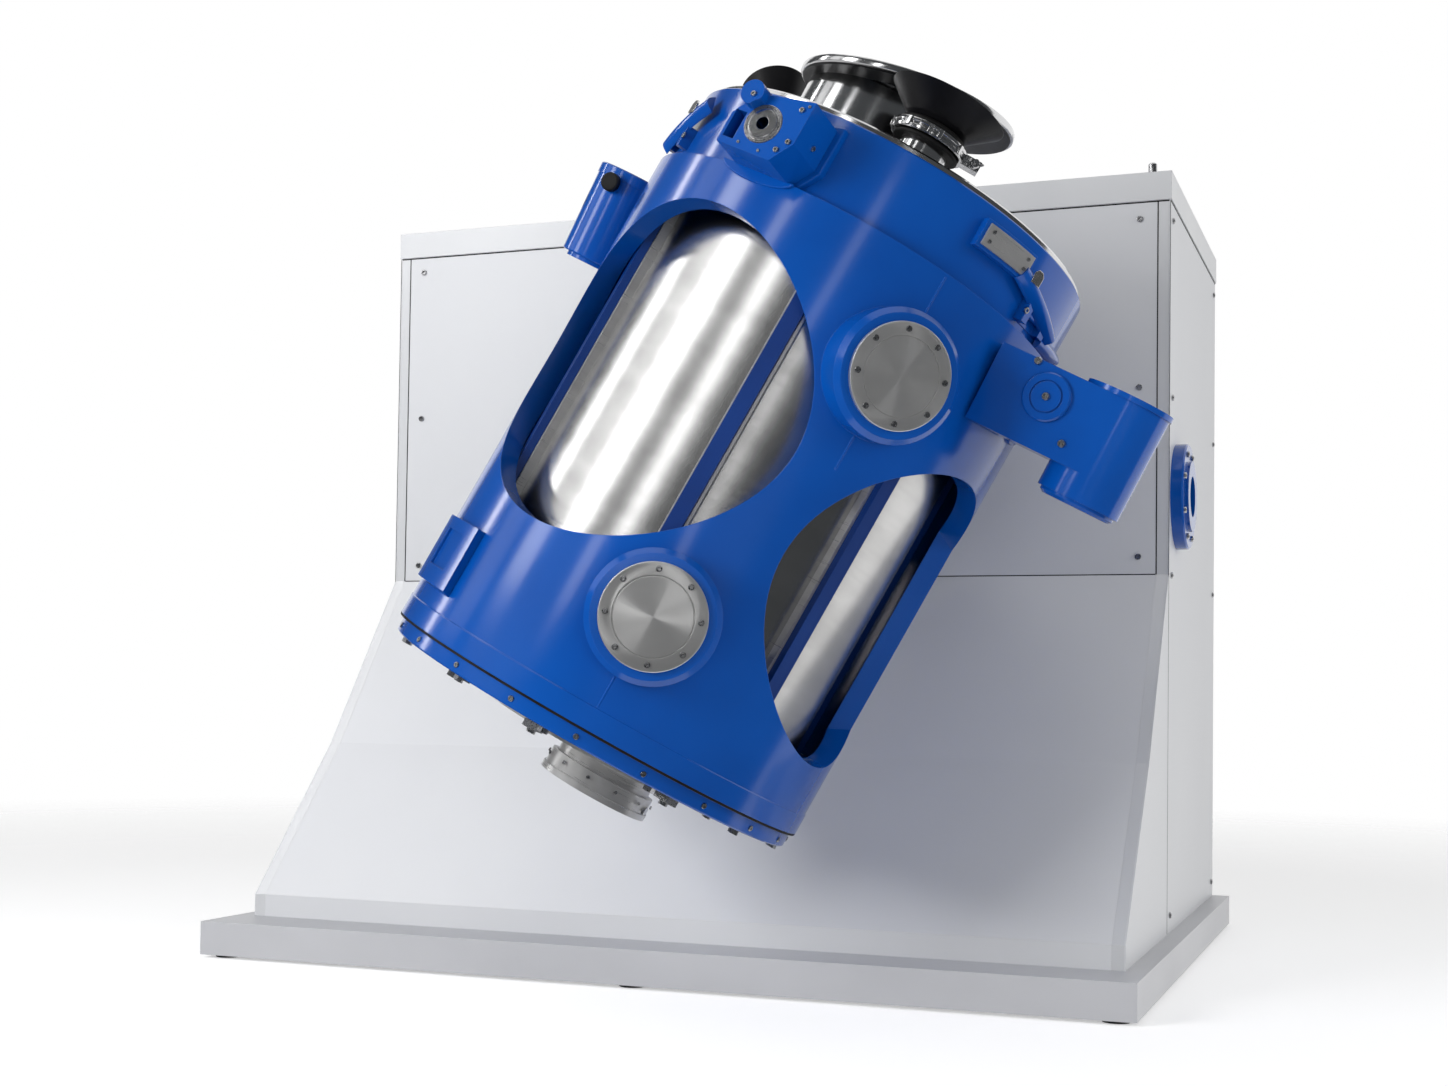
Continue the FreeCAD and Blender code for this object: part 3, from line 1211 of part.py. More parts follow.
def make_bottom():
    """Outlet plate, its clamps, the outlet neck and the ring that holds the valve."""
    top = "(shell_low - bottom_ring_depth)"
    low = f"({top} - bottom_plate_depth)"
    plate = turned("plate_turned", [("0", low), ("bottom_plate_radius * 0.8", low),
                                    ("bottom_plate_radius * 0.8", f"{top} - bottom_plate_depth / 2"),
                                    ("bottom_plate_radius", f"{top} - bottom_plate_depth / 2"),
                                    ("bottom_plate_radius", top), ("0", top)])
    bore = cylinder("plate_bore", "outlet_bore", "bottom_plate_depth", ("outlet_t", "0", low))
    neck = tube("outlet_tube", "outlet_bore + outlet_neck_wall", "outlet_bore",
                "outlet_neck_depth", ("outlet_t", "0", f"{low} - outlet_neck_depth"))
    node("bottom_plate", fuse("plate_and_neck", cut("plate_bored", plate, bore), neck), cage_place)
    height = d.shell_low - d.bottom_ring_depth - d.bottom_plate_depth
    place = cage_place.multiply(shifted(d.outlet_t, 0, height))
    deep = "(outlet_neck_depth + outlet_ring_depth)"
    ring = turned("outlet_turned", [("outlet_bore", "-outlet_neck_depth"),
                                    ("outlet_bore", f"-{deep}"), ("outlet_lip_radius", f"-{deep}"),
                                    ("outlet_lip_radius", f"-{deep} + outlet_lip_depth"),
                                    ("outlet_ring_radius", f"-{deep} + outlet_lip_depth"),
                                    ("outlet_ring_radius", "-outlet_neck_depth")])
    axis = "(-outlet_neck_depth - outlet_ring_depth / 2)"
    stem_hole = cylinder("outlet_stem_hole", "valve_stem_radius + running_fit",
                         "outlet_ring_radius * 3", ("-outlet_ring_radius * 1.5", "0", axis), ALONG_X)
    node("outlet_ring", cut("outlet_bored", ring, stem_hole), place)
    disc = cylinder("valve_plate", "outlet_bore - valve_gap", "valve_depth",
                    ("0", "0", f"{axis} - valve_depth / 2"))
    ball = primitive("Sphere", "valve_ball", ("0", "0", axis), Radius="outlet_bore - valve_gap")
    stem = cylinder("valve_stem", "valve_stem_radius", "2 * outlet_ring_radius + 12",
                    ("-outlet_ring_radius - 6", "0", axis), ALONG_X)
    node("outlet_valve_disc", fuse("valve", common("valve_disc", disc, ball), stem), place)
    clamp = block("bottom_clamp", ("-bottom_clamp_length / 2", "-bottom_clamp_width / 2",
                                   "-bottom_plate_depth / 2 - bottom_clamp_depth"),
                  ("bottom_clamp_length / 2", "bottom_clamp_width / 2", "-bottom_plate_depth / 2"))
    arm = block("bottom_clamp_heel", ("bottom_clamp_length / 4", "-bottom_clamp_width / 2",
                                      "-bottom_plate_depth / 2"),
                ("bottom_clamp_length / 2", "bottom_clamp_width / 2", "0"))
    bolt = cylinder("bottom_clamp_bolt", "bottom_clamp_width / 3", "bottom_clamp_depth / 2",
                    ("0", "0", "-bottom_plate_depth / 2 - bottom_clamp_depth * 1.5"))
    piece = fuse("bottom_clamp_piece", clamp, arm, bolt)
    ring_low = d.shell_low - d.bottom_ring_depth
    spots = ring_of(d.bottom_clamps, d.bottom_plate_radius - d.bottom_clamp_overlap, ring_low,
                    d.bottom_clamp_turn)
    node("bottom_clamps", copies("clamps_round", piece, [cage_place.multiply(s) for s in spots]))


def make_front_boss():
    """Boss on the ring and shell with a spherical bearing in its face."""
    inner = "(cage_radius * 0.8)"
    shoulder = "boss_top - boss_slope"
    face = padded("boss_block", "XY_Plane",
                  [("-boss_left", "boss_low"), ("boss_right - boss_corner_width", "boss_low"),
                   ("boss_right", "boss_low + boss_corner_height"), ("boss_right", "boss_top"),
                   ("-boss_left + boss_shoulder_width", shoulder),
                   ("-boss_left", "boss_top - boss_shoulder_height")],
                  f"boss_reach - {inner}", False)
    spin = Rotation(Vector(0, 0, 1), d.boss_angle) * TOWARDS_FRONT
    out = spin.multVec(Vector(0, 0, 1))
    face.Placement = Placement(out * d.cage_radius * 0.8, spin)
    lug = drum("boss_lug", "boss_lug_radius", "boss_lug_reach + ball_ring_depth")
    lug.Placement = Placement(out * (d.boss_reach - d.ball_ring_depth), spin).multiply(
        shifted(-d.boss_left + d.boss_shoulder_width, d.boss_lug_height, 0))
    ring_room = cylinder("boss_ring_room", "top_ring_radius", "boss_top",
                         ("0", "0", "shell_top"))
    shell_room = cylinder("boss_shell_room", "cage_radius", "boss_top",
                          ("0", "0", "shell_top - boss_top"))
    pocket = radial_cylinder("boss_pocket", "ball_ring_radius", "boss_reach - ball_ring_depth",
                             "boss_reach * 1.1", "boss_angle", "boss_bearing_height")
    bore = radial_cylinder("boss_bore", "ball_radius", "cage_radius",
                           "boss_reach", "boss_angle", "boss_bearing_height")
    left = "(-boss_left + boss_pocket_wall)"
    right = f"{left} + boss_pocket_width"
    hollow = padded("boss_hollow", "XY_Plane",
                    [(left, "boss_pocket_low"), (right, "boss_pocket_low"),
                     (right, "boss_pocket_top"), (left, "boss_pocket_top")],
                    "boss_pocket_depth * 2", False)
    hollow.Placement = Placement(out * (d.boss_reach - d.boss_pocket_depth), spin)
    node("front_boss", cut("boss_machined", fuse("boss_with_lug", face, lug), ring_room, shell_room,
                           pocket, bore, hollow), cage_place)
    seat = facing(d.boss_angle, d.boss_reach - d.ball_ring_depth, d.boss_bearing_height)
    place = cage_place.multiply(seat)
    outer = tube("ball_outer", "ball_ring_radius", "ball_ring_radius / 2", "ball_ring_depth")
    ball_room = primitive("Sphere", "ball_room", ("0", "0", "ball_ring_depth / 2"),
                          Radius="ball_radius + running_fit")
    node("boss_bearing_outer_ring", cut("ball_ring", outer, ball_room), place)
    ball = primitive("Sphere", "ball", Radius="ball_radius")
    slab = cylinder("ball_slab", "ball_radius", "2 * ball_half_width",
                    ("0", "0", "-ball_half_width"))
    hole = cylinder("ball_hole", "ball_bore", "4 * ball_half_width",
                    ("0", "0", "-2 * ball_half_width"))
    inner_ring = cut("ball_bored", common("ball_cut", ball, slab), hole)
    node("boss_bearing_inner_ring", inner_ring, place.multiply(shifted(0, 0, d.ball_ring_depth / 2)))


def make_pad():
    """Raised pad near the foot of the shell with a shallow recess."""
    whole = sector("pad_body", "cage_radius", "cage_radius + pad_proud", "pad_low + pad_rim",
                   "pad_top", "pad_from", "pad_to")
    tail = turned("pad_tail", [("cage_radius", "pad_low + 20"),
                               ("cage_radius + pad_proud", "pad_low + pad_rim"),
                               ("cage_radius", "pad_low + pad_rim")], "pad_to - pad_from")
    tail.Placement = Placement(Vector(), Rotation(Vector(0, 0, 1), d.pad_from - 90))
    hollow = turned("pad_hollow",
                    [("cage_radius + pad_proud - pad_recess", "pad_low + 2.4 * pad_rim"),
                     ("cage_radius + pad_proud + 1", "pad_low + 2.4 * pad_rim"),
                     ("cage_radius + pad_proud + 1", "pad_top - pad_rim"),
                     ("cage_radius + pad_proud - pad_recess", "pad_top - pad_rim")],
                    "(pad_to - pad_from) / 2")
    start = d.pad_from + (d.pad_to - d.pad_from) / 4
    hollow.Placement = Placement(Vector(), Rotation(Vector(0, 0, 1), start - 90))
    node("service_pad", cut("pad_machined", fuse("pad_solid", whole, tail), hollow), cage_place)


def make_latches():
    """Two strap latches on the ring, and the steel plate on its block."""
    ring = "top_ring_radius"
    room = cylinder("latch_room", ring, "latch_base_height * 3",
                    ("0", "0", "latch_low - latch_base_height"))
    half = "latch_base_width / 2"
    foot = block("latch_foot", ("top_ring_radius * 0.9", f"-{half}", "latch_low"),
                 (f"{ring} + latch_base_depth", half, "latch_low + latch_base_height"))
    slot = block("latch_slot", (f"{ring} + 2", "-latch_lever_width / 2 - 1", "latch_low"),
                 (f"{ring} + 2 * latch_base_depth", "latch_lever_width / 2 + 1",
                  "latch_low + latch_base_height"))
    pin_at = "(top_ring_radius + latch_base_depth / 2 + 1)"
    pivot = "(latch_low + latch_base_height / 2)"
    pin = cylinder("latch_pin", "latch_pin_radius", "latch_base_width",
                   (pin_at, f"-{half}", pivot), ALONG_Y)
    base = fuse("latch_base", cut("latch_cut", foot, room, slot), pin)
    angles = (d.latch_angle, d.right_latch_angle)
    spins = [cage_place.multiply(Placement(Vector(), Rotation(Vector(0, 0, 1), angle - 90)))
             for angle in angles]
    wide = "latch_lever_width / 2"
    near = f"({pin_at} - latch_lever_depth / 2)"
    strap = block("lever_strap", (near, f"-{wide}", pivot),
                  (f"{near} + latch_lever_depth", wide, f"{pivot} + latch_lever_height"))
    eye = cylinder("lever_eye", "latch_lever_depth", "latch_lever_width",
                   (pin_at, f"-{wide}", pivot), ALONG_Y)
    hole = cylinder("lever_hole", "latch_pin_radius + running_fit", "latch_lever_width * 2",
                    (pin_at, "-latch_lever_width", pivot), ALONG_Y)
    lever = cut("lever", fuse("lever_solid", strap, eye), hole)
    for name, spin in zip(("left", "right"), spins):
        node(f"{name}_latch_lever", copies(f"{name}_lever", lever, [spin]))
    plate_block = sector("plate_block", ring, f"{ring} + plate_block_rise", "plate_block_low",
                         "plate_block_top", "plate_block_from", "plate_block_to")
    node("latch_bases", together("bases", (base, spins), (plate_block, [cage_place])))
    steel = turned("steel_plate",
                   [(f"{ring} + plate_block_rise", "plate_block_low + steel_plate_margin"),
                    (f"{ring} + plate_block_rise + steel_plate_depth",
                     "plate_block_low + steel_plate_margin"),
                    (f"{ring} + plate_block_rise + steel_plate_depth",
                     "plate_block_top - steel_plate_margin"),
                    (f"{ring} + plate_block_rise", "plate_block_top - steel_plate_margin")],
                   "plate_block_to - plate_block_from - 2")
    steel.Placement = Placement(Vector(), Rotation(Vector(0, 0, 1), d.plate_block_from + 1 - 90))
    node("latch_steel_plate", steel, cage_place)


for make in (make_plinth, make_frame, make_front_panels, make_side_panels, make_top,
             make_cabinet_screws, make_side_flange, make_drive, make_barring_shaft,
             make_rotor_shaft, make_yoke, make_drive_block, make_left_barrel, make_bushes,
             make_cage_shell, make_portholes, make_trunnion_pins, make_end_rings, make_rails,
             make_vessel, make_lid_pipes, make_loading_disc, make_port,
             make_vent_funnel, make_bottom, make_front_boss,
             make_pad, make_latches):
    make()

doc.recompute()
for thing in doc.Objects:
    if "Invalid" in thing.State or "Error" in thing.State:
        raise RuntimeError(f"{thing.Name} failed: {thing.State}")
os.makedirs("parts", exist_ok=True)
for name, thing in nodes.items():
    shape = thing.Shape
    if shape.isNull() or not shape.isValid():
        raise RuntimeError(f"{name} has no valid shape")
    shape.exportStep(f"parts/{name}.step")
print(len(nodes), "nodes written")
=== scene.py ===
# %% [markdown]
# # A three-dimensional powder blender
# The machine has a light steel cabinet, a blue yoke that turns in front of it, and a blue
# cage that rocks in the yoke and holds a polished steel vessel. The solids come from the
# frame, in metres and already in place. This lesson gives them their finishes, adds the
# small pieces that a machinist would see, and lights them as in a photo studio.

# %% The frame and the numbers that the pieces share
from math import cos, radians, sin

import bmesh
import bpy
import numpy as np
from mathutils import Matrix, Vector


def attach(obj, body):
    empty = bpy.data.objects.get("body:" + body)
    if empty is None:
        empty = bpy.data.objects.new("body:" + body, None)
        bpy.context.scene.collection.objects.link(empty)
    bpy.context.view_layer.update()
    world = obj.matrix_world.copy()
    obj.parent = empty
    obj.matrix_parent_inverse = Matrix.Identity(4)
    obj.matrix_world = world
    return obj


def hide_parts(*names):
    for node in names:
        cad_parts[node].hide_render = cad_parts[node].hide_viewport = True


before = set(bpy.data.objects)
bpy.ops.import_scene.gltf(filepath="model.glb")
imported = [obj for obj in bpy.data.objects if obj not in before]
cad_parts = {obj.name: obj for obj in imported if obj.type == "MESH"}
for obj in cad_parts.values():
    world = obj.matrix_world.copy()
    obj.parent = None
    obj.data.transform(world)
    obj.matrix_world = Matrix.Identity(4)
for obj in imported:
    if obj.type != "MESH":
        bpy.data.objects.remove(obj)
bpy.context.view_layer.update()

# %% [markdown]
# The camera stands low and to the right of the machine and looks a little up at it. Its
# height and direction were solved from the straight edges of the cabinet. The picture's
# sight line isn't in its middle, so the lens is shifted instead of tilting the machine.

# %% Camera
CAMERA_PLACE = Vector((1.719906, -4.875662, 0.678419))
CAMERA_TURN, CAMERA_RISE, CAMERA_ROLL = radians(20.676), radians(1.961), radians(0.773)
SENSOR_WIDTH, LENS, LENS_SHIFT = 36.0, 46.79, 0.058
turn = Matrix.Rotation(CAMERA_TURN, 4, "Z") @ Matrix.Rotation(radians(90) + CAMERA_RISE, 4, "X")
camera = bpy.data.objects.new("photo_camera", bpy.data.cameras.new("photo_camera"))
camera.matrix_world = Matrix.Translation(CAMERA_PLACE) @ turn @ Matrix.Rotation(CAMERA_ROLL, 4, "Z")
camera.data.sensor_width = SENSOR_WIDTH
camera.data.lens = LENS
camera.data.shift_y = LENS_SHIFT
camera.data.clip_end = 100.0
bpy.context.scene.collection.objects.link(camera)
bpy.context.scene.camera = camera
print("camera at", tuple(camera.location), "lens", camera.data.lens)

# %% [markdown]
# Three assemblies have axes of their own. The yoke has turned about the cabinet's axis,
# and the cage has rocked in the yoke. A piece is worked out upright in its own assembly
# and then put in its place by one matrix, so a lid stays a plain circle until the end.

# %% Axes of the yoke and of the cage
YOKE_TURN, CAGE_ROCK = radians(27.43), radians(9.26)
yoke_axes = Matrix.Translation((0.3376, -1.035, 1.2078)) @ Matrix.Rotation(YOKE_TURN, 4, "Y")
cage_axes = yoke_axes @ Matrix.Rotation(-CAGE_ROCK, 4, "X")
print("yoke axes\n", yoke_axes, "\ncage axes\n", cage_axes)

# %% [markdown]
# Sprayed paint and brushed steel are never quite even. That could come from pictures, but
# they would have to be wrapped round every solid. A noise needs no wrapping: it is read in
# the piece's own axes, and squeezed along the strokes where a brush has left any.

# %% Noise in a piece's own axes


def noise(tree, place, axes, stretch, detail):
    """Noise of the point, brought into the axes and multiplied by the stretch of each."""
    mapping = tree.nodes.new("ShaderNodeMapping")
    mapping.vector_type = "TEXTURE"
    mapping.inputs["Location"].default_value = axes.translation
    mapping.inputs["Rotation"].default_value = axes.to_euler()
    mapping.inputs["Scale"].default_value = [1 / amount for amount in stretch]
    texture = tree.nodes.new("ShaderNodeTexNoise")
    texture.inputs["Scale"].default_value = 1.0
    texture.inputs["Detail"].default_value = detail
    tree.links.new(place.outputs["Object"], mapping.inputs["Vector"])
    tree.links.new(mapping.outputs["Vector"], texture.inputs["Vector"])
    return texture.outputs["Fac"]


print("noise ready")

# %% [markdown]
# Real edges are broken with a file and rub thin with use. The solids are carried over as
# they are, so a bevel node rounds the shading of their edges instead of their faces. Where
# the rounded direction leaves the flat one there is an edge, and there the colour is made
# lighter: partly worn paint, partly a painted edge highlight.

# %% Rounded edges, worn and painted lighter as a highlight


def worn_and_highlit_edge(tree, radius, wear_and_highlight):
    """Wear and painted highlight rise from none to their full amount as the cosine of the bend
    falls from 1 to 0.8.
    """
    rounded = tree.nodes.new("ShaderNodeBevel")
    rounded.samples = 4
    rounded.inputs["Radius"].default_value = radius
    flat = tree.nodes.new("ShaderNodeNewGeometry")
    bend = tree.nodes.new("ShaderNodeVectorMath")
    bend.operation = "DOT_PRODUCT"
    tree.links.new(rounded.outputs["Normal"], bend.inputs[0])
    tree.links.new(flat.outputs["Normal"], bend.inputs[1])
    worn_and_highlit = tree.nodes.new("ShaderNodeMapRange")
    worn_and_highlit.inputs["From Min"].default_value = 1.0
    worn_and_highlit.inputs["From Max"].default_value = 0.8
    worn_and_highlit.inputs["To Max"].default_value = wear_and_highlight
    tree.links.new(bend.outputs["Value"], worn_and_highlit.inputs["Value"])
    return rounded.outputs["Normal"], worn_and_highlit.outputs["Result"]


print("edges ready")

# %% [markdown]
# A finish is one shader. The broad noise mixes two close colours, the fine one changes the
# polish and raises a faint bump. One builder for all finishes keeps them alike in kind, so
# that paint, steel and rubber differ only in their numbers.

# %% Material builder
COAT_ROUGHNESS = 0.08


def mixed_colour(tree, broad, colour, other, worn_and_highlit):
    """Colour goes from one to the other as the noise goes from 0.35 to 0.65, then to a lighter copy
    at edges: wear and painted highlight.
    """
    ramp = tree.nodes.new("ShaderNodeValToRGB")
    for stop, place, tint in zip(ramp.color_ramp.elements, (0.35, 0.65), (colour, other)):
        stop.position = place
        stop.color = (*tint, 1)
    tree.links.new(broad, ramp.inputs["Fac"])
    rubbed_and_highlit = tree.nodes.new("ShaderNodeMix")
    rubbed_and_highlit.data_type = "RGBA"
    # worn paint and painted edge highlight: a lighter copy of the colour at the edges
    rubbed_and_highlit.inputs[7].default_value = [min(1.0, 1.4 * part + 0.05) for part in other] + [1]
    tree.links.new(worn_and_highlit, rubbed_and_highlit.inputs[0])
    tree.links.new(ramp.outputs["Color"], rubbed_and_highlit.inputs[6])
    return rubbed_and_highlit.outputs[2]


def finish(name, colour, other, metal, rough, spread, patches=(6, 6, 6), grain=(60, 60, 60),
           bump=0.02, axes=Matrix(), coat=0.0, edge=0.0015, wear_and_highlight=0.0):
    """Roughness is rough plus or minus the spread, by the same fine noise as the bump."""
    material = bpy.data.materials.new(name)
    material.use_nodes = True
    tree = material.node_tree
    shader = tree.nodes["Principled BSDF"]
    shader.inputs["Metallic"].default_value = metal
    shader.inputs["Coat Weight"].default_value = coat
    shader.inputs["Coat Roughness"].default_value = COAT_ROUGHNESS
    place = tree.nodes.new("ShaderNodeTexCoord")
    broad = noise(tree, place, axes, patches, 3.0)
    fine = noise(tree, place, axes, grain, 2.0)
    # the edges are lightened, partly as wear and partly as a painted highlight
    rounded, worn_and_highlit = worn_and_highlit_edge(tree, edge, wear_and_highlight)
    tree.links.new(mixed_colour(tree, broad, colour, other, worn_and_highlit), shader.inputs["Base Color"])
    polish = tree.nodes.new("ShaderNodeMapRange")
    polish.inputs["To Min"].default_value = rough - spread
    polish.inputs["To Max"].default_value = rough + spread
    tree.links.new(fine, polish.inputs["Value"])
    tree.links.new(polish.outputs["Result"], shader.inputs["Roughness"])
    relief = tree.nodes.new("ShaderNodeBump")
    relief.inputs["Strength"].default_value = bump
    relief.inputs["Distance"].default_value = 0.001
    tree.links.new(fine, relief.inputs["Height"])
    tree.links.new(rounded, relief.inputs["Normal"])
    tree.links.new(relief.outputs["Normal"], shader.inputs["Normal"])
    return material


print("finish builder ready")

# %% [markdown]
# The cage and yoke are sprayed a deep blue under a clear, glossy top coat. The guide rails and
# the bearing housing get a darker, duller copy of that blue, which is painted shade for their
# place in the cage's shadow. The cabinet is satin steel sheet, paler and softer than the vessel.
# The vessel is brushed round its axis in the cage's axes, so fine strokes cross the long
# highlights that run down it.

# %% Finishes of the machine
blue_paint = finish("machine_blue", (0.0008, 0.066, 0.345), (0.0012, 0.080, 0.405), 0.0, 0.17, 0.02,
                    patches=(3, 3, 3), grain=(160, 160, 160), bump=0.008, coat=0.15, edge=0.002,
                    wear_and_highlight=0.30)
# painted shade: a darker, duller copy of the blue for the parts that sit inside the cage
blue_paint_painted_shade = finish("machine_blue_painted_shade", (0.0006, 0.028, 0.17), (0.0008, 0.036, 0.21), 0.0,
                           0.36, 0.05, patches=(4, 4, 4), grain=(200, 200, 200), bump=0.02)
cabinet_sheet = finish("cabinet_sheet", (0.70, 0.71, 0.735), (0.74, 0.75, 0.77), 0.08, 0.42, 0.05,
                       patches=(1.2, 1.2, 0.8), grain=(4, 4, 500), bump=0.02, wear_and_highlight=0.3)
cabinet_edge = finish("cabinet_edge", (0.66, 0.67, 0.69), (0.72, 0.73, 0.745), 0.15, 0.36, 0.06,
                      patches=(2, 2, 2), grain=(4, 500, 500), bump=0.02, wear_and_highlight=0.4)
plinth_steel = finish("plinth_steel", (0.54, 0.545, 0.57), (0.60, 0.605, 0.63), 0.12, 0.40, 0.05,
                      patches=(1.5, 1.5, 3), grain=(3, 3, 600), bump=0.02, wear_and_highlight=0.4)
vessel_steel = finish("vessel_steel", (0.56, 0.555, 0.55), (0.66, 0.655, 0.65), 1.0, 0.21, 0.06,
                      patches=(3, 3, 14), grain=(5, 5, 900), bump=0.05, axes=cage_axes)
brushed_steel = finish("brushed_steel", (0.62, 0.615, 0.61), (0.72, 0.715, 0.71), 0.75, 0.30, 0.07,
                       patches=(4, 4, 30), grain=(8, 8, 700), bump=0.03, axes=cage_axes)
polished_steel = finish("polished_steel", (0.62, 0.62, 0.625), (0.72, 0.72, 0.725), 1.0, 0.15, 0.04,
                        patches=(5, 5, 5), grain=(90, 90, 90), bump=0.01)
bolt_steel = finish("bolt_steel", (0.42, 0.42, 0.43), (0.56, 0.56, 0.57), 1.0, 0.28, 0.06,
                    patches=(40, 40, 40), grain=(300, 300, 300), bump=0.04, edge=0.0004)
frame_paint = finish("frame_paint", (0.20, 0.205, 0.215), (0.24, 0.245, 0.255), 0.1, 0.55, 0.06,
                     patches=(5, 5, 5), grain=(160, 160, 160), bump=0.05, wear_and_highlight=0.3)
black_cone = finish("black_cone", (0.004, 0.004, 0.005), (0.008, 0.008, 0.009), 0.0, 0.38, 0.06,
                    patches=(8, 8, 8), grain=(220, 220, 220), bump=0.05)
black_rubber = finish("black_rubber", (0.008, 0.008, 0.008), (0.016, 0.016, 0.016), 0.0, 0.55, 0.08,
                      patches=(20, 20, 20), grain=(400, 400, 400), bump=0.08)
bronze = finish("bronze", (0.42, 0.24, 0.09), (0.52, 0.31, 0.12), 1.0, 0.30, 0.06,
                patches=(20, 20, 20), grain=(200, 200, 200), bump=0.03)
for dull in (black_cone, black_rubber):
    dull.node_tree.nodes["Principled BSDF"].inputs["Specular IOR Level"].default_value = 0.2
print("finishes", len(bpy.data.materials))

# %% [markdown]
# Every solid could get its finish by hand in the editor, but a table keeps the choice in one
# place and shows at a glance what is painted, what is sheet and what is turned steel. The
# solids keep their shape: only the material in their one slot changes.

# %% Each solid gets its finish
FINISHES = {
    blue_paint: ("side_flange", "yoke", "rocking_drive_block", "drive_block_front_cap",
                 "half_round_caps", "left_trunnion_barrel", "left_barrel_cap",
                 "cage_shell", "top_ring", "bottom_ring", "front_boss", "service_pad",
                 "latch_bases", "left_latch_lever", "right_latch_lever"),
    # painted shade: the rails and the bearing housing take the darker copy of the blue
    blue_paint_painted_shade: ("guide_rails", "main_bearing_housing"),
    cabinet_sheet: ("upper_front_panel", "lower_front_panel", "kick_plate", "side_panels",
                    "wing_panels", "rear_cover", "top_cover"),
    cabinet_edge: ("corner_trim", "top_band"),
    plinth_steel: ("plinth",),
    brushed_steel: ("vessel_wear_strips", "bottom_plate", "latch_steel_plate",
                    "porthole_covers", "outlet_ring"),
    polished_steel: ("vessel_lid", "lid_pipes", "loading_disc", "port_clamp",
                     "outlet_valve_disc", "wing_nut", "trunnion_pins", "boss_bearing_inner_ring",
                     "main_bearing_inner_ring", "main_bearing_outer_ring", "barring_shaft",
                     "rotor_shaft"),
    bolt_steel: ("cabinet_screws", "porthole_screws", "rotor_bolts", "bottom_ring_bolts",
                 "lifting_stud", "bottom_clamps", "boss_bearing_outer_ring"),
    frame_paint: ("cabinet_frame", "drive_gearbox", "drive_motor"),
    black_cone: ("port_funnel", "vent_funnel"),
    black_rubber: ("left_barrel_knob", "levelling_feet"),
    bronze: ("trunnion_bushes",),
}
dressed = {name for names in FINISHES.values() for name in names}
for material, names in FINISHES.items():
    for name in names:
        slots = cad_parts[name].data.materials
        slots.clear()
        slots.append(material)
print("without a finish:", sorted(set(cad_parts) - dressed))

# %% [markdown]
# Most new pieces are turned on a lathe or cut from plate. A turned piece is a profile
# carried round an axis, a plate is an outline carried along one. Both are worked out
# upright as arrays and then put in place by the matrix of the assembly they sit on.

# %% Building a mesh from arrays


def build(name, points, faces, axes, body, material, uv=None, sharp=30.0):
    """Local points times the matrix of their axes give the mesh; doubled points are merged."""
    place = np.array(axes)
    world = points.reshape(-1, 3) @ place[:3, :3].T + place[:3, 3]
    mesh = bpy.data.meshes.new(name)
    mesh.from_pydata(world.tolist(), [], faces if isinstance(faces, list) else faces.tolist())
    if uv is not None:
        mesh.uv_layers.new(name="strokes").data.foreach_set("uv", uv.reshape(-1))
    work = bmesh.new()
    work.from_mesh(mesh)
    bmesh.ops.remove_doubles(work, verts=work.verts, dist=1e-6)
    bmesh.ops.recalc_face_normals(work, faces=work.faces)
    work.to_mesh(mesh)
    work.free()
    mesh.shade_smooth()
    mesh.set_sharp_from_angle(angle=radians(sharp))
    mesh.materials.append(material)
    piece = bpy.data.objects.new(name, mesh)
    bpy.context.scene.collection.objects.link(piece)
    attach(piece, body)
    print(name, "faces", len(mesh.polygons))
    return piece


def turned_grid(profile, sides):
    """Point (r, z) of the profile goes to (r cos a, r sin a, z) for each angle a of the turn."""
    profile = np.asarray(profile, float)
    angle = 2 * np.pi * np.arange(sides) / sides
    points = np.empty((sides, len(profile), 3))
    points[..., 0] = np.cos(angle)[:, None] * profile[:, 0]
    points[..., 1] = np.sin(angle)[:, None] * profile[:, 0]
    points[..., 2] = profile[:, 1]
    return points


def grid_faces(rows, columns, wrap=True):
    """Quads of a grid of rows by columns; the last row joins the first when it wraps."""
    last = rows if wrap else rows - 1
    row, column = np.divmod(np.arange(last * (columns - 1)), columns - 1)
    after = (row + 1) % rows
    return np.stack([row * columns + column, after * columns + column,
                     after * columns + column + 1, row * columns + column + 1], axis=1)


def lathe(name, profile, axes, body, material, sides=128, sharp=30.0):
    """A profile carried round the Z axis of its own axes; U goes round, V along the profile."""
    profile = np.asarray(profile, float)
    faces = grid_faces(sides, len(profile))
    row, column = np.divmod(np.arange(len(faces)), len(profile) - 1)
    along = np.concatenate([[0], np.cumsum(np.hypot(*np.diff(profile, axis=0).T))])
    u = np.stack([row, row + 1, row + 1, row], axis=1) / sides
    v = np.stack([along[column], along[column], along[column + 1], along[column + 1]], axis=1)
    return build(name, turned_grid(profile, sides), faces, axes, body, material,
                 np.stack([u, v], axis=-1), sharp)


def plate(name, outline, low, high, axes, body, material, bevel=0.0015, sharp=30.0):
    """An outline in X and Y carried from a low to a high Z, with its edges bevelled."""
    outline = np.asarray(outline, float)
    count = len(outline)
    ends = [np.column_stack([outline, np.full(count, z)]) for z in (low, high)]
    around = np.arange(count)
    beyond = (around + 1) % count
    walls = np.stack([around, beyond, beyond + count, around + count], axis=1).tolist()
    faces = walls + [around[::-1].tolist(), (around + count).tolist()]
    piece = build(name, np.vstack(ends), faces, axes, body, material, sharp=sharp)
    if bevel:
        rounding = piece.modifiers.new("edges", "BEVEL")
        rounding.width = bevel
        rounding.segments = 2
    return piece


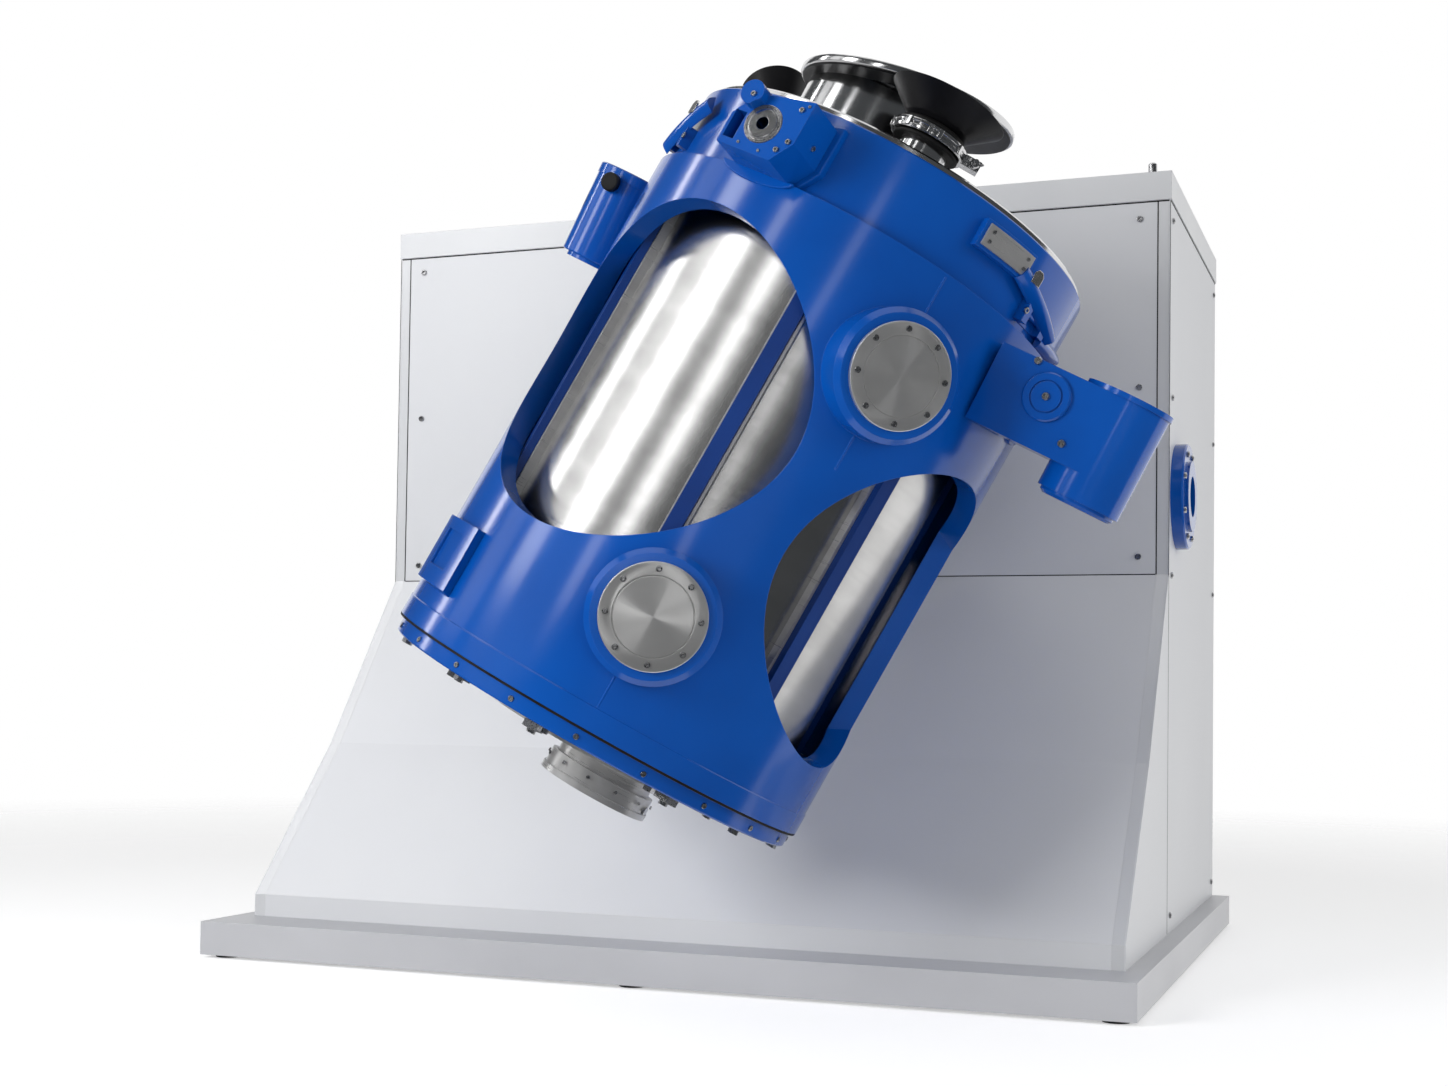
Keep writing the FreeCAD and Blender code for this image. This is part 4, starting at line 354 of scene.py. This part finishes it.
def copies(name, points, faces, places, body, material, slot, sharp=30.0):
    """One small mesh repeated at many places: every point times every place's matrix."""
    spots = np.array([np.array(place) for place in places])
    flat = points.reshape(-1, 3)
    world = np.einsum("nij,kj->nki", spots[:, :3, :3], flat) + spots[:, None, :3, 3]
    every = (faces[None] + len(flat) * np.arange(len(spots))[:, None, None]).reshape(-1, 4)
    return build(name, world, every, Matrix(), body, material, sharp=sharp)


def facing(angle, radius, height, axes=cage_axes):
    """Axes on the cage at an angle from its front: Z points outwards, Y up along the cage."""
    spin = Matrix.Rotation(radians(angle), 4, "Z") @ Matrix.Rotation(radians(90), 4, "X")
    return axes @ Matrix.Translation((0, 0, height)) @ spin @ Matrix.Translation((0, 0, radius))


print("helpers ready")

# %% [markdown]
# The vessel is spun from sheet, a long tube with a cone at its foot and a rim at its top,
# and brushed while it turned. A fine lathe of many sides keeps its long highlights even,
# where the solid's flat facets would break them up. Anisotropy stretches them along it.

# %% Steel with strokes round its axis


def stroke(material, amount, name="strokes"):
    """Stretches the shine across the strokes, which run along U of the piece's own map."""
    tree = material.node_tree
    tangent = tree.nodes.new("ShaderNodeTangent")
    tangent.direction_type = "UV_MAP"
    tangent.uv_map = name
    shader = tree.nodes["Principled BSDF"]
    shader.inputs["Anisotropic"].default_value = amount
    tree.links.new(tangent.outputs["Tangent"], shader.inputs["Tangent"])
    return material


stroke(vessel_steel, 0.65)
VESSEL, WALL, FOOT = 0.400, 0.004, -0.720
vessel_profile = [(0.298, FOOT), (0.298, FOOT + 0.024), (0.398, -0.604), (0.3995, -0.600),
                  (VESSEL, -0.590), (VESSEL, 0.588), (0.440, 0.588), (0.440, 0.598),
                  (VESSEL - WALL, 0.598), (VESSEL - WALL, -0.600), (0.294, FOOT + 0.024),
                  (0.294, FOOT), (0.298, FOOT)]
steel_vessel = lathe("steel_vessel", vessel_profile, cage_axes, "cage", vessel_steel,
                     256)
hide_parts("mixing_vessel")

# %% [markdown]
# The covers of the two portholes were faced on a lathe, so their strokes are circles and
# light draws two bright wedges across them. Turned strokes need a map that goes round the
# cover, and a profile with a rounded rim, a groove, and the fine steps of the tool.

# %% Turned covers of the portholes
COVER_SEAT, COVER_FACE = 0.547, 0.009
turned_steel = stroke(finish("turned_steel", (0.80, 0.795, 0.785), (0.88, 0.875, 0.865), 0.86, 0.30,
                             0.05, patches=(9, 9, 9), grain=(30, 30, 30), bump=0.01), 1.0)
fine_steps = np.linspace(0.0765, 0.0, 60)
ripple = COVER_FACE - 0.00006 * (np.arange(60) % 2)
cover_profile = [(0, 0), (0.105, 0), (0.105, 0.0068), (0.1043, 0.0083), (0.1028, COVER_FACE),
                 (0.0790, COVER_FACE), (0.0788, 0.0070), (0.0772, 0.0070), (0.0770, 0.0089)]
cover_profile += list(zip(fine_steps, ripple))
PORTHOLES = ((39.3, 0.199), (20.0, -0.432))
for index, (angle, height) in enumerate(PORTHOLES):
    cover = lathe(f"turned_cover_{index}", cover_profile, facing(angle, COVER_SEAT, height), "cage",
                  turned_steel, 160, sharp=40)
    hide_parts("porthole_covers")

# %% [markdown]
# The screws are cap screws with a hexagonal key hole. One head is a stack of rings: the
# outer rings are circles, the rings of the key hole are hexagons, and both are joined by
# flat faces. The same head is repeated at every place that the solids give.

# %% Cap screws


def cap_head(radius, height, sides=24):
    """Rings of a screw head; a hexagon's radius is its flat over the cosine to that flat."""
    angle = 2 * np.pi * np.arange(sides) / sides
    to_flat = (angle + np.pi / 6) % (np.pi / 3) - np.pi / 6
    hexagon = 1 / np.cos(to_flat)
    circle = np.ones(sides)
    rings = [(0, 0, circle), (1, 0, circle), (1, 0.72, circle), (0.95, 0.9, circle),
             (0.86, 1, circle), (0.50, 1, hexagon), (0.47, 0.93, hexagon), (0.47, 0.35, hexagon),
             (0, 0.30, circle)]
    points = np.empty((sides, len(rings), 3))
    for number, (reach, rise, shape) in enumerate(rings):
        points[:, number, 0] = radius * reach * shape * np.cos(angle)
        points[:, number, 1] = radius * reach * shape * np.sin(angle)
        points[:, number, 2] = height * rise
    return points, grid_faces(sides, len(rings))


def around(count, radius, height, start):
    """Places on a circle round Z."""
    return [Matrix.Rotation(radians(start + 360 * i / count), 4, "Z")
            @ Matrix.Translation((radius, 0, height)) for i in range(count)]


cover_heads = [facing(angle, COVER_SEAT, height) @ spot for angle, height in PORTHOLES
               for spot in around(8, 0.091, COVER_FACE, 22.5)]
cover_screws = copies("cover_screws", *cap_head(0.0062, 0.0028), cover_heads, "cage", bolt_steel,
                      "brushed_steel")
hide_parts("porthole_screws")

# %% [markdown]
# The cabinet's panels come off for service, so a screw sits in each corner and halfway up.
# The same head is placed by rule from the panels' edges, which is less to get wrong than a
# list of points, and eight more hold the blue flange at the side.

# %% Screws of the cabinet
HALF, UPPER_FRONT, BACK, PANEL_EDGE = 1.102, -0.105, 0.918, 0.045
to_front = Matrix.Rotation(radians(90), 4, "X")
to_right = Matrix.Rotation(radians(90), 4, "Y")
panel_heads = [Matrix.Translation((x, UPPER_FRONT, z)) @ to_front
               for x in (-1.026, 1.026) for z in (1.030, 1.4565, 1.883)]
for y in (UPPER_FRONT + PANEL_EDGE, BACK - PANEL_EDGE):
    for z in (0.135, 0.985, 1.434, 1.883):
        panel_heads.append(Matrix.Translation((HALF, y, z)) @ to_right)
        panel_heads.append(Matrix.Translation((-HALF, y, z)) @ to_right.inverted())
side_flange = Matrix.Translation((HALF, 0.045, 1.193)) @ to_right
panel_heads += [side_flange @ spot for spot in around(8, 0.113, 0.032, 22.5)]
panel_screws = copies("panel_screws", *cap_head(0.008, 0.005), panel_heads, "cabinet", bolt_steel,
                      "brushed_steel")
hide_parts("cabinet_screws")

# %% [markdown]
# The shell was rolled and closed by one weld, ground almost flush. It still shows as a
# thin raised line through both portholes. A bead is a low arch carried along the shell: a
# bump in the paint would vanish at the outline, and a real arch catches the light.

# %% Weld beads
SHELL = 0.485


def bead(name, start, end, radius, rise=0.0009, half=0.0035, body="cage"):
    """From (angle, height) to (angle, height): across the line the rise is a cosine arch."""
    along = np.linspace(0, 1, 40)[:, None]
    across = np.linspace(-1, 1, 9)[None, :]
    angle = np.radians(start[0] + (end[0] - start[0]) * along)
    height = start[1] + (end[1] - start[1]) * along
    run = np.array([np.radians(end[0] - start[0]) * radius, end[1] - start[1]])
    side = np.array([-run[1], run[0]]) / np.hypot(*run)
    angle = angle + side[0] * half * across / radius
    height = height + side[1] * half * across
    reach = radius - 0.0008 + (rise + 0.0008) * np.cos(across * np.pi / 2) + 0 * along
    points = np.stack([reach * np.sin(angle), -reach * np.cos(angle), height + 0 * angle], axis=-1)
    under = points.copy()
    under[..., 0] *= (radius - 0.002) / reach
    under[..., 1] *= (radius - 0.002) / reach
    ring = np.concatenate([points, under[:, ::-1]], axis=1)
    closed = np.concatenate([ring, ring[:, :1]], axis=1)
    faces = grid_faces(40, closed.shape[1], wrap=False).tolist()
    count = closed.shape[1]
    faces += [list(range(count - 1)), [39 * count + i for i in range(count - 2, -1, -1)]]
    return build(name, closed, faces, cage_axes, body, blue_paint, sharp=60)


bead("weld_bead_top", (39.9, 0.334), (39.9, 0.422), SHELL)
bead("weld_bead_middle", (39.6, -0.010), (39.6, 0.064), SHELL)
bead("weld_bead_foot", (19.0, -0.634), (19.0, -0.567), SHELL)

# %% [markdown]
# The loading disc is a steel rim over a black gasket, so from below it looks black with a
# bright edge. The rim is a lathe with rounded edges, and the gasket a thin disc under it.

# %% Loading disc
disc_axes = (cage_axes @ Matrix.Translation((-0.046, -0.100, 0.784))
             @ Matrix.Rotation(radians(-8.8), 4, "Y") @ Matrix.Rotation(radians(5.6), 4, "X"))
disc_profile = [(0, 0.0006), (0.233, 0.0006), (0.2355, 0), (0.2375, 0.0008), (0.2395, 0.0030),
                (0.240, 0.006), (0.2398, 0.0130), (0.2385, 0.0155), (0.2360, 0.0168),
                (0.2330, 0.017), (0.2315, 0.0158), (0.2290, 0.0155), (0, 0.0155)]
loading_cover = lathe("loading_cover", disc_profile, disc_axes, "cage", polished_steel,
                      192)
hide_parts("loading_disc")
gasket_profile = [(0.1645, 0.0010), (0.1645, -0.0028), (0.2320, -0.0028), (0.2340, -0.0014),
                  (0.2343, 0.0010)]
lathe("disc_gasket", gasket_profile + gasket_profile[:1], disc_axes, "cage", black_cone,
      160)

# %% [markdown]
# The port is closed by a ring clamp that squeezes two flanges with black seals. The solid
# of the clamp is plain, so a band with a groove and small lugs is laid round it. Seals and
# band are three lathe profiles on the pipe's axis, because they are round all the way, and
# the lugs are small plates with bevelled edges, set at the angles where they show.

# %% Port seals and ring
CLAMP_HEIGHT = 0.659
port_axes = cage_axes @ Matrix.Translation((0.134, -0.354, 0))
upper_seal = [(0.050, 0.6705), (0.0715, 0.6705), (0.0735, 0.6725), (0.0735, 0.6760),
              (0.0700, 0.6800), (0.0640, 0.6825), (0.050, 0.6825), (0.050, 0.6705)]
lower_seal = [(0.050, 0.6395), (0.0690, 0.6395), (0.0715, 0.6415), (0.0715, 0.6455),
              (0.0690, 0.6475), (0.050, 0.6475), (0.050, 0.6395)]
lathe("port_upper_seal", upper_seal, port_axes, "cage", black_rubber, 96)
lathe("port_lower_seal", lower_seal, port_axes, "cage", black_rubber, 96)
band_profile = [(0.0765, 0.6485), (0.0800, 0.6490), (0.0808, 0.6510), (0.0808, 0.6550),
                (0.0790, 0.6565), (0.0790, 0.6615), (0.0808, 0.6630), (0.0808, 0.6670),
                (0.0800, 0.6690), (0.0765, 0.6695), (0.0765, 0.6485)]
lathe("port_clamp_band", band_profile, port_axes, "cage", polished_steel, 128)
band_lugs = [port_axes @ Matrix.Rotation(radians(angle), 4, "Z")
             @ Matrix.Translation((0.079, 0, CLAMP_HEIGHT))
             for angle in (200, 250, 300, -75, -20, 65, 110)]
lug_outline = [(-0.004, -0.0045), (0.0052, -0.0045), (0.0052, 0.0045), (-0.004, 0.0045)]
for index, lug in enumerate(band_lugs):
    plate(f"port_band_lug_{index}", lug_outline, -0.0095, 0.0095, lug, "cage", polished_steel,
          0.001)

# %% [markdown]
# The wing nut is a turned hub with two lobes that lean outwards. A lobe is an ellipse that
# is carried along its lean and shrinks to a rounded tip, so it reads as cast metal.

# %% Wing nut
wing_axes = (port_axes @ Matrix.Rotation(radians(20), 4, "Z")
             @ Matrix.Translation((0.102, -0.0157, CLAMP_HEIGHT)) @ to_front)
hub_profile = [(0.00505, 0), (0.0100, 0), (0.0100, 0.006), (0.0085, 0.0125), (0.0078, 0.014),
               (0.00505, 0.014), (0.00505, 0)]
wing_hub = lathe("wing_nut_hub", hub_profile, wing_axes, "wing_nut", polished_steel,
                 48)
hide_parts("wing_nut")


def lobe(side):
    """Sections along a leaning line: half width and thickness follow the sine of the way."""
    way = np.linspace(0, 1, 18)[:, None]
    angle = np.linspace(0, 2 * np.pi, 25)[None, :]
    swell = np.sqrt(np.clip(np.sin(np.pi * (0.12 + 0.88 * way)), 0, 1))
    middle = side * (0.0085 + 0.0068 * way)
    points = np.stack([middle + side * 0.0045 * swell * np.cos(angle) * (0.6 + 0.4 * way),
                       0.0026 * swell * np.sin(angle) + 0 * way,
                       0.007 + 0.0225 * way + 0.0 * angle], axis=-1)
    return points


for index, side in enumerate((-1, 1)):
    wing = build(f"wing_nut_lobe_{index}", lobe(side), grid_faces(18, 25, wrap=False), wing_axes,
                 "wing_nut", polished_steel, sharp=70)
    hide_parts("wing_nut")

# %% [markdown]
# The front boss is bolted to the ring. Its foot spreads into a flange that follows its
# outline, a saddle plate lies under it on the shoulder, and cap screws of two sizes hold
# the cover of its face and the lug at its corner. The foot is the boss's own outline made
# larger about its middle, so both stay alike.

# %% Boss foot and saddle
BOSS_ANGLE, BOSS_FACE = -9, 0.585
boss_axes = facing(BOSS_ANGLE, 0, 0)
boss_outline = np.array([(-0.077, 0.428), (0.051, 0.428), (0.083, 0.475), (0.083, 0.564),
                         (-0.042, 0.544), (-0.077, 0.490)])
middle = boss_outline.mean(axis=0)
foot_outline = middle + (boss_outline - middle) * np.array([1.17, 1.16])
plate("boss_foot", foot_outline, 0.440, 0.4735, boss_axes, "cage", blue_paint,
      0.003)
saddle_turn = np.linspace(np.radians(180), np.radians(360), 24)
saddle_outline = np.column_stack([-0.024 + 0.088 * np.cos(saddle_turn),
                                  0.432 + 0.026 * np.sin(saddle_turn)])
plate("boss_saddle", saddle_outline, 0.455, 0.4885, boss_axes, "cage", blue_paint,
      0.002)

# %% [markdown]
# The screws of the boss are the cap screw's head in two sizes. They sit on three faces that
# look different ways, so each gets its place and its direction from the boss's own axes.

# %% Screws of the boss
face_heads = [boss_axes @ Matrix.Translation((x, s, BOSS_FACE)) for x, s in
              ((0.063, 0.541), (0.0705, 0.474), (0.055, 0.452))]
small_heads = [boss_axes @ Matrix.Translation((x, s, BOSS_FACE)) for x, s in
               ((0.074, 0.552), (-0.030, 0.440), (0.020, 0.438))]
lug_head = [boss_axes @ Matrix.Translation((-0.036, 0.530, 0.609))]
side_head = [boss_axes @ Matrix.Translation((0.083, 0.500, 0.520)) @ to_right]
copies("boss_screws", *cap_head(0.0055, 0.0045), face_heads + lug_head + side_head, "cage",
       bolt_steel, "brushed_steel")
copies("boss_small_screws", *cap_head(0.003, 0.0025), small_heads, "cage", bolt_steel,
       "brushed_steel")

# %% [markdown]
# The bearing in the boss has a steel outer ring with two turned steps round its ball. The
# steps are a few tenths of a millimetre high, so one small lathe profile gives them all.

# %% Bearing rings
seat_axes = facing(BOSS_ANGLE, BOSS_FACE, 0.490)
step_profile = [(0.0335, -0.004), (0.0335, 0.0008), (0.0350, 0.0016), (0.0362, 0.0005),
                (0.0372, 0.0005), (0.0384, 0.0016), (0.0396, 0.0010), (0.0398, -0.004),
                (0.0335, -0.004)]
lathe("bearing_steps", step_profile, seat_axes, "cage", bolt_steel, 96)

# %% [markdown]
# Each latch is a thick blue strap that lies bent round the ring at a slant and turns on a
# pin in its base. The same arch as the weld bead's, wider and higher, gives the strap. A
# steel keeper plate stands at its upper end, and pin heads show at the sides of the base.

# %% Latch straps
RING = 0.484
STRAPS = (("left", "left_latch_lever", (-57.5, 0.455), (-40, 0.545), -46, -52),
          ("right", "right_latch_lever", (57, 0.525), (79, 0.466), 61, 70))
keeper_outline = [(-0.014, -0.012), (0.014, -0.012), (0.014, 0.010), (0.006, 0.018),
                  (-0.006, 0.018), (-0.014, 0.010)]
for name, body, start, end, keeper, pin in STRAPS:
    strap = bead(f"{name}_latch_strap", start, end, RING, rise=0.016, half=0.021, body=body)
    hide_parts(body)
    plate(f"{name}_latch_keeper", keeper_outline, 0, 0.004, facing(keeper, RING + 0.013, 0.528),
          body, polished_steel, 0.001)
    ends = [facing(pin + side * 5.6, 0.486, 0.471) for side in (-1, 1)]
    copies(f"{name}_latch_pin_heads", *cap_head(0.007, 0.004), ends, "cage", bolt_steel,
           "brushed_steel")
bead("right_latch_guard", (76, 0.446), (95, 0.462), RING - 0.010, rise=0.014, half=0.017)

# %% [markdown]
# A small steel plate is screwed to its block beside the right latch. Its four cap screws
# are the same head once more, smaller, at two angles and two heights.

# %% Screws of the steel plate beside the latch
plate_heads = [facing(angle, 0.493, height) for angle in (44.6, 56.2) for height in (0.527, 0.548)]
copies("plate_screws", *cap_head(0.0042, 0.003), plate_heads, "cage", bolt_steel, "brushed_steel")

# %% [markdown]
# Small screws sit in the rim of the outlet ring, and a black seal lies in the joint between
# the shell and the ring at its foot, where a dark line runs round. A dark line in the paint
# would look printed, so the seal is a lathe that stands a little proud.

# %% Outlet screws and foot seal
outlet_axes = cage_axes @ Matrix.Translation((0.065, 0, -0.742))
rim_heads = [outlet_axes @ Matrix.Rotation(radians(angle), 4, "Z")
             @ Matrix.Translation((0.1262, 0, -0.046)) @ to_right for angle in range(-80, 280, 30)]
copies("outlet_rim_screws", *cap_head(0.0042, 0.003), rim_heads, "cage", bolt_steel,
       "brushed_steel")
seal_profile = [(0.4760, -0.6872), (0.4864, -0.6872), (0.4868, -0.6848), (0.4864, -0.6824),
                (0.4760, -0.6824), (0.4760, -0.6872)]
lathe("foot_seal", seal_profile, cage_axes, "cage", black_rubber, 256)

# %% [markdown]
# The cabinet's sheets meet at thin dark joints, which give it its scale. Each joint is a
# narrow strip of black seal that stands a hair above the sheets.

# %% Joints between the sheets


def strip(name, low, high):
    """A box between two corners, as an outline in X and Y carried up Z."""
    outline = [(low[0], low[1]), (high[0], low[1]), (high[0], high[1]), (low[0], high[1])]
    return plate(name, outline, low[2], high[2], Matrix(), "cabinet", black_rubber,
                 0)


SLOPE, BAND = 0.985, 1.928
strip("upper_joint", (-1.099, -0.1056, BAND - 0.0045), (1.099, -0.1045, BAND - 0.0012))
strip("fold_joint", (-1.069, -0.1058, SLOPE - 0.0015), (1.069, -0.1040, SLOPE + 0.0015))
for name, x in (("left", -1.071), ("right", 1.071)):
    strip(f"{name}_post_joint", (x - 0.0014, -0.1056, SLOPE), (x + 0.0014, -0.1040, BAND - 0.003))
for name, x in (("left", -1.1024), ("right", 1.1016)):
    strip(f"{name}_wing_joint", (x, -0.1062, 0.092), (x + 0.0008, -0.1034, BAND - 0.003))
    strip(f"{name}_band_joint", (x, -0.104, BAND - 0.0045), (x + 0.0008, 0.914, BAND - 0.0012))

# %% [markdown]
# The studio is a pale round floor that fades into a white surround, so no horizon shows.
# The floor keeps the machine's shadow, and a little of its own light, seen by the camera
# alone, keeps that shadow pale.

# %% Floor
FLOOR_REACH = 14.0
floor_mesh = bpy.data.meshes.new("studio_floor")
angles = np.linspace(0, 2 * np.pi, 96, endpoint=False)
rim = np.stack([FLOOR_REACH * np.cos(angles), FLOOR_REACH * np.sin(angles), 0 * angles], axis=1)
floor_mesh.from_pydata(rim.tolist(), [], [list(range(len(rim)))])
studio_floor = bpy.data.objects.new("studio_floor", floor_mesh)
studio_floor.visible_glossy = False
bpy.context.scene.collection.objects.link(studio_floor)
print("floor reaches", FLOOR_REACH, "m")

# %% [markdown]
# The floor's paint is near white. It turns clear from three to seven metres out, so that its
# edge is never seen, and mixing with a clear shader does that without a larger floor.

# %% Paint of the floor
FADE_START, FADE_END, FLOOR_GLOW = 3.0, 7.0, 0.42
floor_paint = bpy.data.materials.new("floor_paint")
floor_paint.use_nodes = True
tree = floor_paint.node_tree
surface = tree.nodes["Principled BSDF"]
surface.inputs["Base Color"].default_value = (0.90, 0.90, 0.905, 1)
surface.inputs["Roughness"].default_value = 0.8
surface.inputs["Emission Color"].default_value = (1, 1, 1, 1)
path = tree.nodes.new("ShaderNodeLightPath")
glow = tree.nodes.new("ShaderNodeMapRange")
glow.inputs["To Max"].default_value = FLOOR_GLOW
tree.links.new(path.outputs["Is Camera Ray"], glow.inputs["Value"])
tree.links.new(glow.outputs["Result"], surface.inputs["Emission Strength"])
clear = tree.nodes.new("ShaderNodeBsdfTransparent")
fade = tree.nodes.new("ShaderNodeMixShader")
place = tree.nodes.new("ShaderNodeTexCoord")
length = tree.nodes.new("ShaderNodeVectorMath")
length.operation = "LENGTH"
reach = tree.nodes.new("ShaderNodeMapRange")
reach.inputs["From Min"].default_value = FADE_START
reach.inputs["From Max"].default_value = FADE_END
tree.links.new(place.outputs["Object"], length.inputs[0])
tree.links.new(length.outputs["Value"], reach.inputs["Value"])
tree.links.new(reach.outputs["Result"], fade.inputs["Fac"])
tree.links.new(surface.outputs["BSDF"], fade.inputs[1])
tree.links.new(clear.outputs["BSDF"], fade.inputs[2])
tree.links.new(fade.outputs["Shader"], tree.nodes["Material Output"].inputs["Surface"])
floor_mesh.materials.append(floor_paint)
print("floor fades from", FADE_START, "to", FADE_END, "m")

# %% [markdown]
# Steel looks like steel only when it mirrors dark as well as light. A dark curtain stands
# behind the camera, far from the machine, and only mirrored rays see it. It is part of a
# sphere, so its edge never cuts straight across a reflection.

# %% Curtain behind the camera
CURTAIN_REACH, CURTAIN_GLOW, COLUMNS, ROWS = 9.0, 0.07, 48, 24
swing, tilt = np.meshgrid(np.radians(np.linspace(-128, 112, COLUMNS + 1)),
                          np.radians(np.linspace(-60, 62, ROWS + 1)), indexing="ij")
sphere = np.stack([np.sin(swing) * np.cos(tilt), -np.cos(swing) * np.cos(tilt), np.sin(tilt)],
                  axis=-1)
points = CURTAIN_REACH * sphere.reshape(-1, 3) + np.array([0.34, -1.03, 1.2])
faces = grid_faces(COLUMNS + 1, ROWS + 1, wrap=False)
curtain_mesh = bpy.data.meshes.new("dark_curtain")
curtain_mesh.from_pydata(points.tolist(), [], faces.tolist())
dark_curtain = bpy.data.objects.new("dark_curtain", curtain_mesh)
bpy.context.scene.collection.objects.link(dark_curtain)
dark_curtain.visible_camera = dark_curtain.visible_diffuse = dark_curtain.visible_shadow = False
dark_curtain.visible_transmission = False
curtain_cloth = bpy.data.materials.new("curtain_cloth")
curtain_cloth.use_nodes = True
cloth = curtain_cloth.node_tree.nodes["Principled BSDF"]
cloth.inputs["Base Color"].default_value = (0.0, 0.0, 0.0, 1)
cloth.inputs["Specular IOR Level"].default_value = 0.0
cloth.inputs["Emission Color"].default_value = (0.9, 0.95, 1.0, 1)
cloth.inputs["Emission Strength"].default_value = CURTAIN_GLOW
curtain_mesh.materials.append(curtain_cloth)
print("curtain of", len(faces), "faces")

# %% [markdown]
# The surround is white to the eye, in mirrors and through glass, but lights the machine at
# about a third of that. One strength for all would either grey the background or bleach the
# pale cabinet, so three kinds of ray are told apart.

# %% World
SURROUND = 0.36
world = bpy.data.worlds.new("studio")
world.use_nodes = True
bpy.context.scene.world = world
tree = world.node_tree
background = tree.nodes["Background"]
path = tree.nodes.new("ShaderNodeLightPath")
seen = tree.nodes.new("ShaderNodeMath")
seen.operation = "MAXIMUM"
seen_or_through = tree.nodes.new("ShaderNodeMath")
seen_or_through.operation = "MAXIMUM"
strength = tree.nodes.new("ShaderNodeMapRange")
strength.inputs["To Min"].default_value = SURROUND
strength.inputs["To Max"].default_value = 1.0
tree.links.new(path.outputs["Is Camera Ray"], seen.inputs[0])
tree.links.new(path.outputs["Is Glossy Ray"], seen.inputs[1])
tree.links.new(seen.outputs["Value"], seen_or_through.inputs[0])
tree.links.new(path.outputs["Is Transmission Ray"], seen_or_through.inputs[1])
tree.links.new(seen_or_through.outputs["Value"], strength.inputs["Value"])
tree.links.new(strength.outputs["Result"], background.inputs["Strength"])
background.inputs["Color"].default_value = (1, 1, 1, 1)
print("surround", SURROUND)

# %% [markdown]
# The long soft highlights down the cage and the vessel are mirror images of strip lamps.
# Where a highlight lies on a cylinder says from which direction its lamp shines, so the
# strips stand round the cage at the angles read from the photograph, turned with its axis.
# They are seen in mirrored light only. Three wide lamps, which no mirrored ray sees, give
# the plain level of light and throw the cage's soft shadow on the cabinet behind it.

# %% Lamps
CAGE_MIDDLE = cage_axes.translation


def lamp(name, azimuth, rise, distance, width, height, brightness, mirrored=True):
    """A lamp at an angle from the front and above the floor, its long side along the cage."""
    a, e = radians(azimuth), radians(rise)
    out = Vector((sin(a) * cos(e), -cos(a) * cos(e), sin(e)))
    along = cage_axes.to_3x3() @ Vector((0, 0, 1))
    across = along.cross(out).normalized()
    along = out.cross(across)
    data = bpy.data.lights.new(name, "AREA")
    data.shape = "RECTANGLE"
    data.size, data.size_y = width, height
    data.energy = brightness * 3.1416 * width * height
    thing = bpy.data.objects.new(name, data)
    turn = Matrix((across, along, out)).transposed().to_4x4()
    thing.matrix_world = Matrix.Translation(CAGE_MIDDLE + distance * out) @ turn
    thing.visible_diffuse, thing.visible_glossy = not mirrored, mirrored
    bpy.context.scene.collection.objects.link(thing)
    print(name, "brightness", brightness, "watts", round(data.energy, 1))
    return thing


lamp("edge_strip", -88, 33, 5.0, 0.30, 3.2, 11.0)
lamp("left_glow", -68, 36, 5.2, 1.2, 3.2, 1.0)
lamp("key_strip", -46, 35, 5.5, 1.1, 2.8, 6.0)
lamp("front_strip", -13, 25, 6.0, 0.6, 2.8, 4.5)
lamp("near_strip", 21, 8, 6.2, 0.5, 2.4, 2.2)
lamp("soft_key", -36, 15, 5.0, 2.2, 2.2, 12.0, mirrored=False)
lamp("soft_side", 88, 8, 5.5, 2.0, 2.4, 4.6, mirrored=False)
lamp("soft_low", 34, -6, 5.0, 2.0, 0.9, 5.0, mirrored=False)

scene = bpy.context.scene
scene.view_settings.view_transform = "Standard"
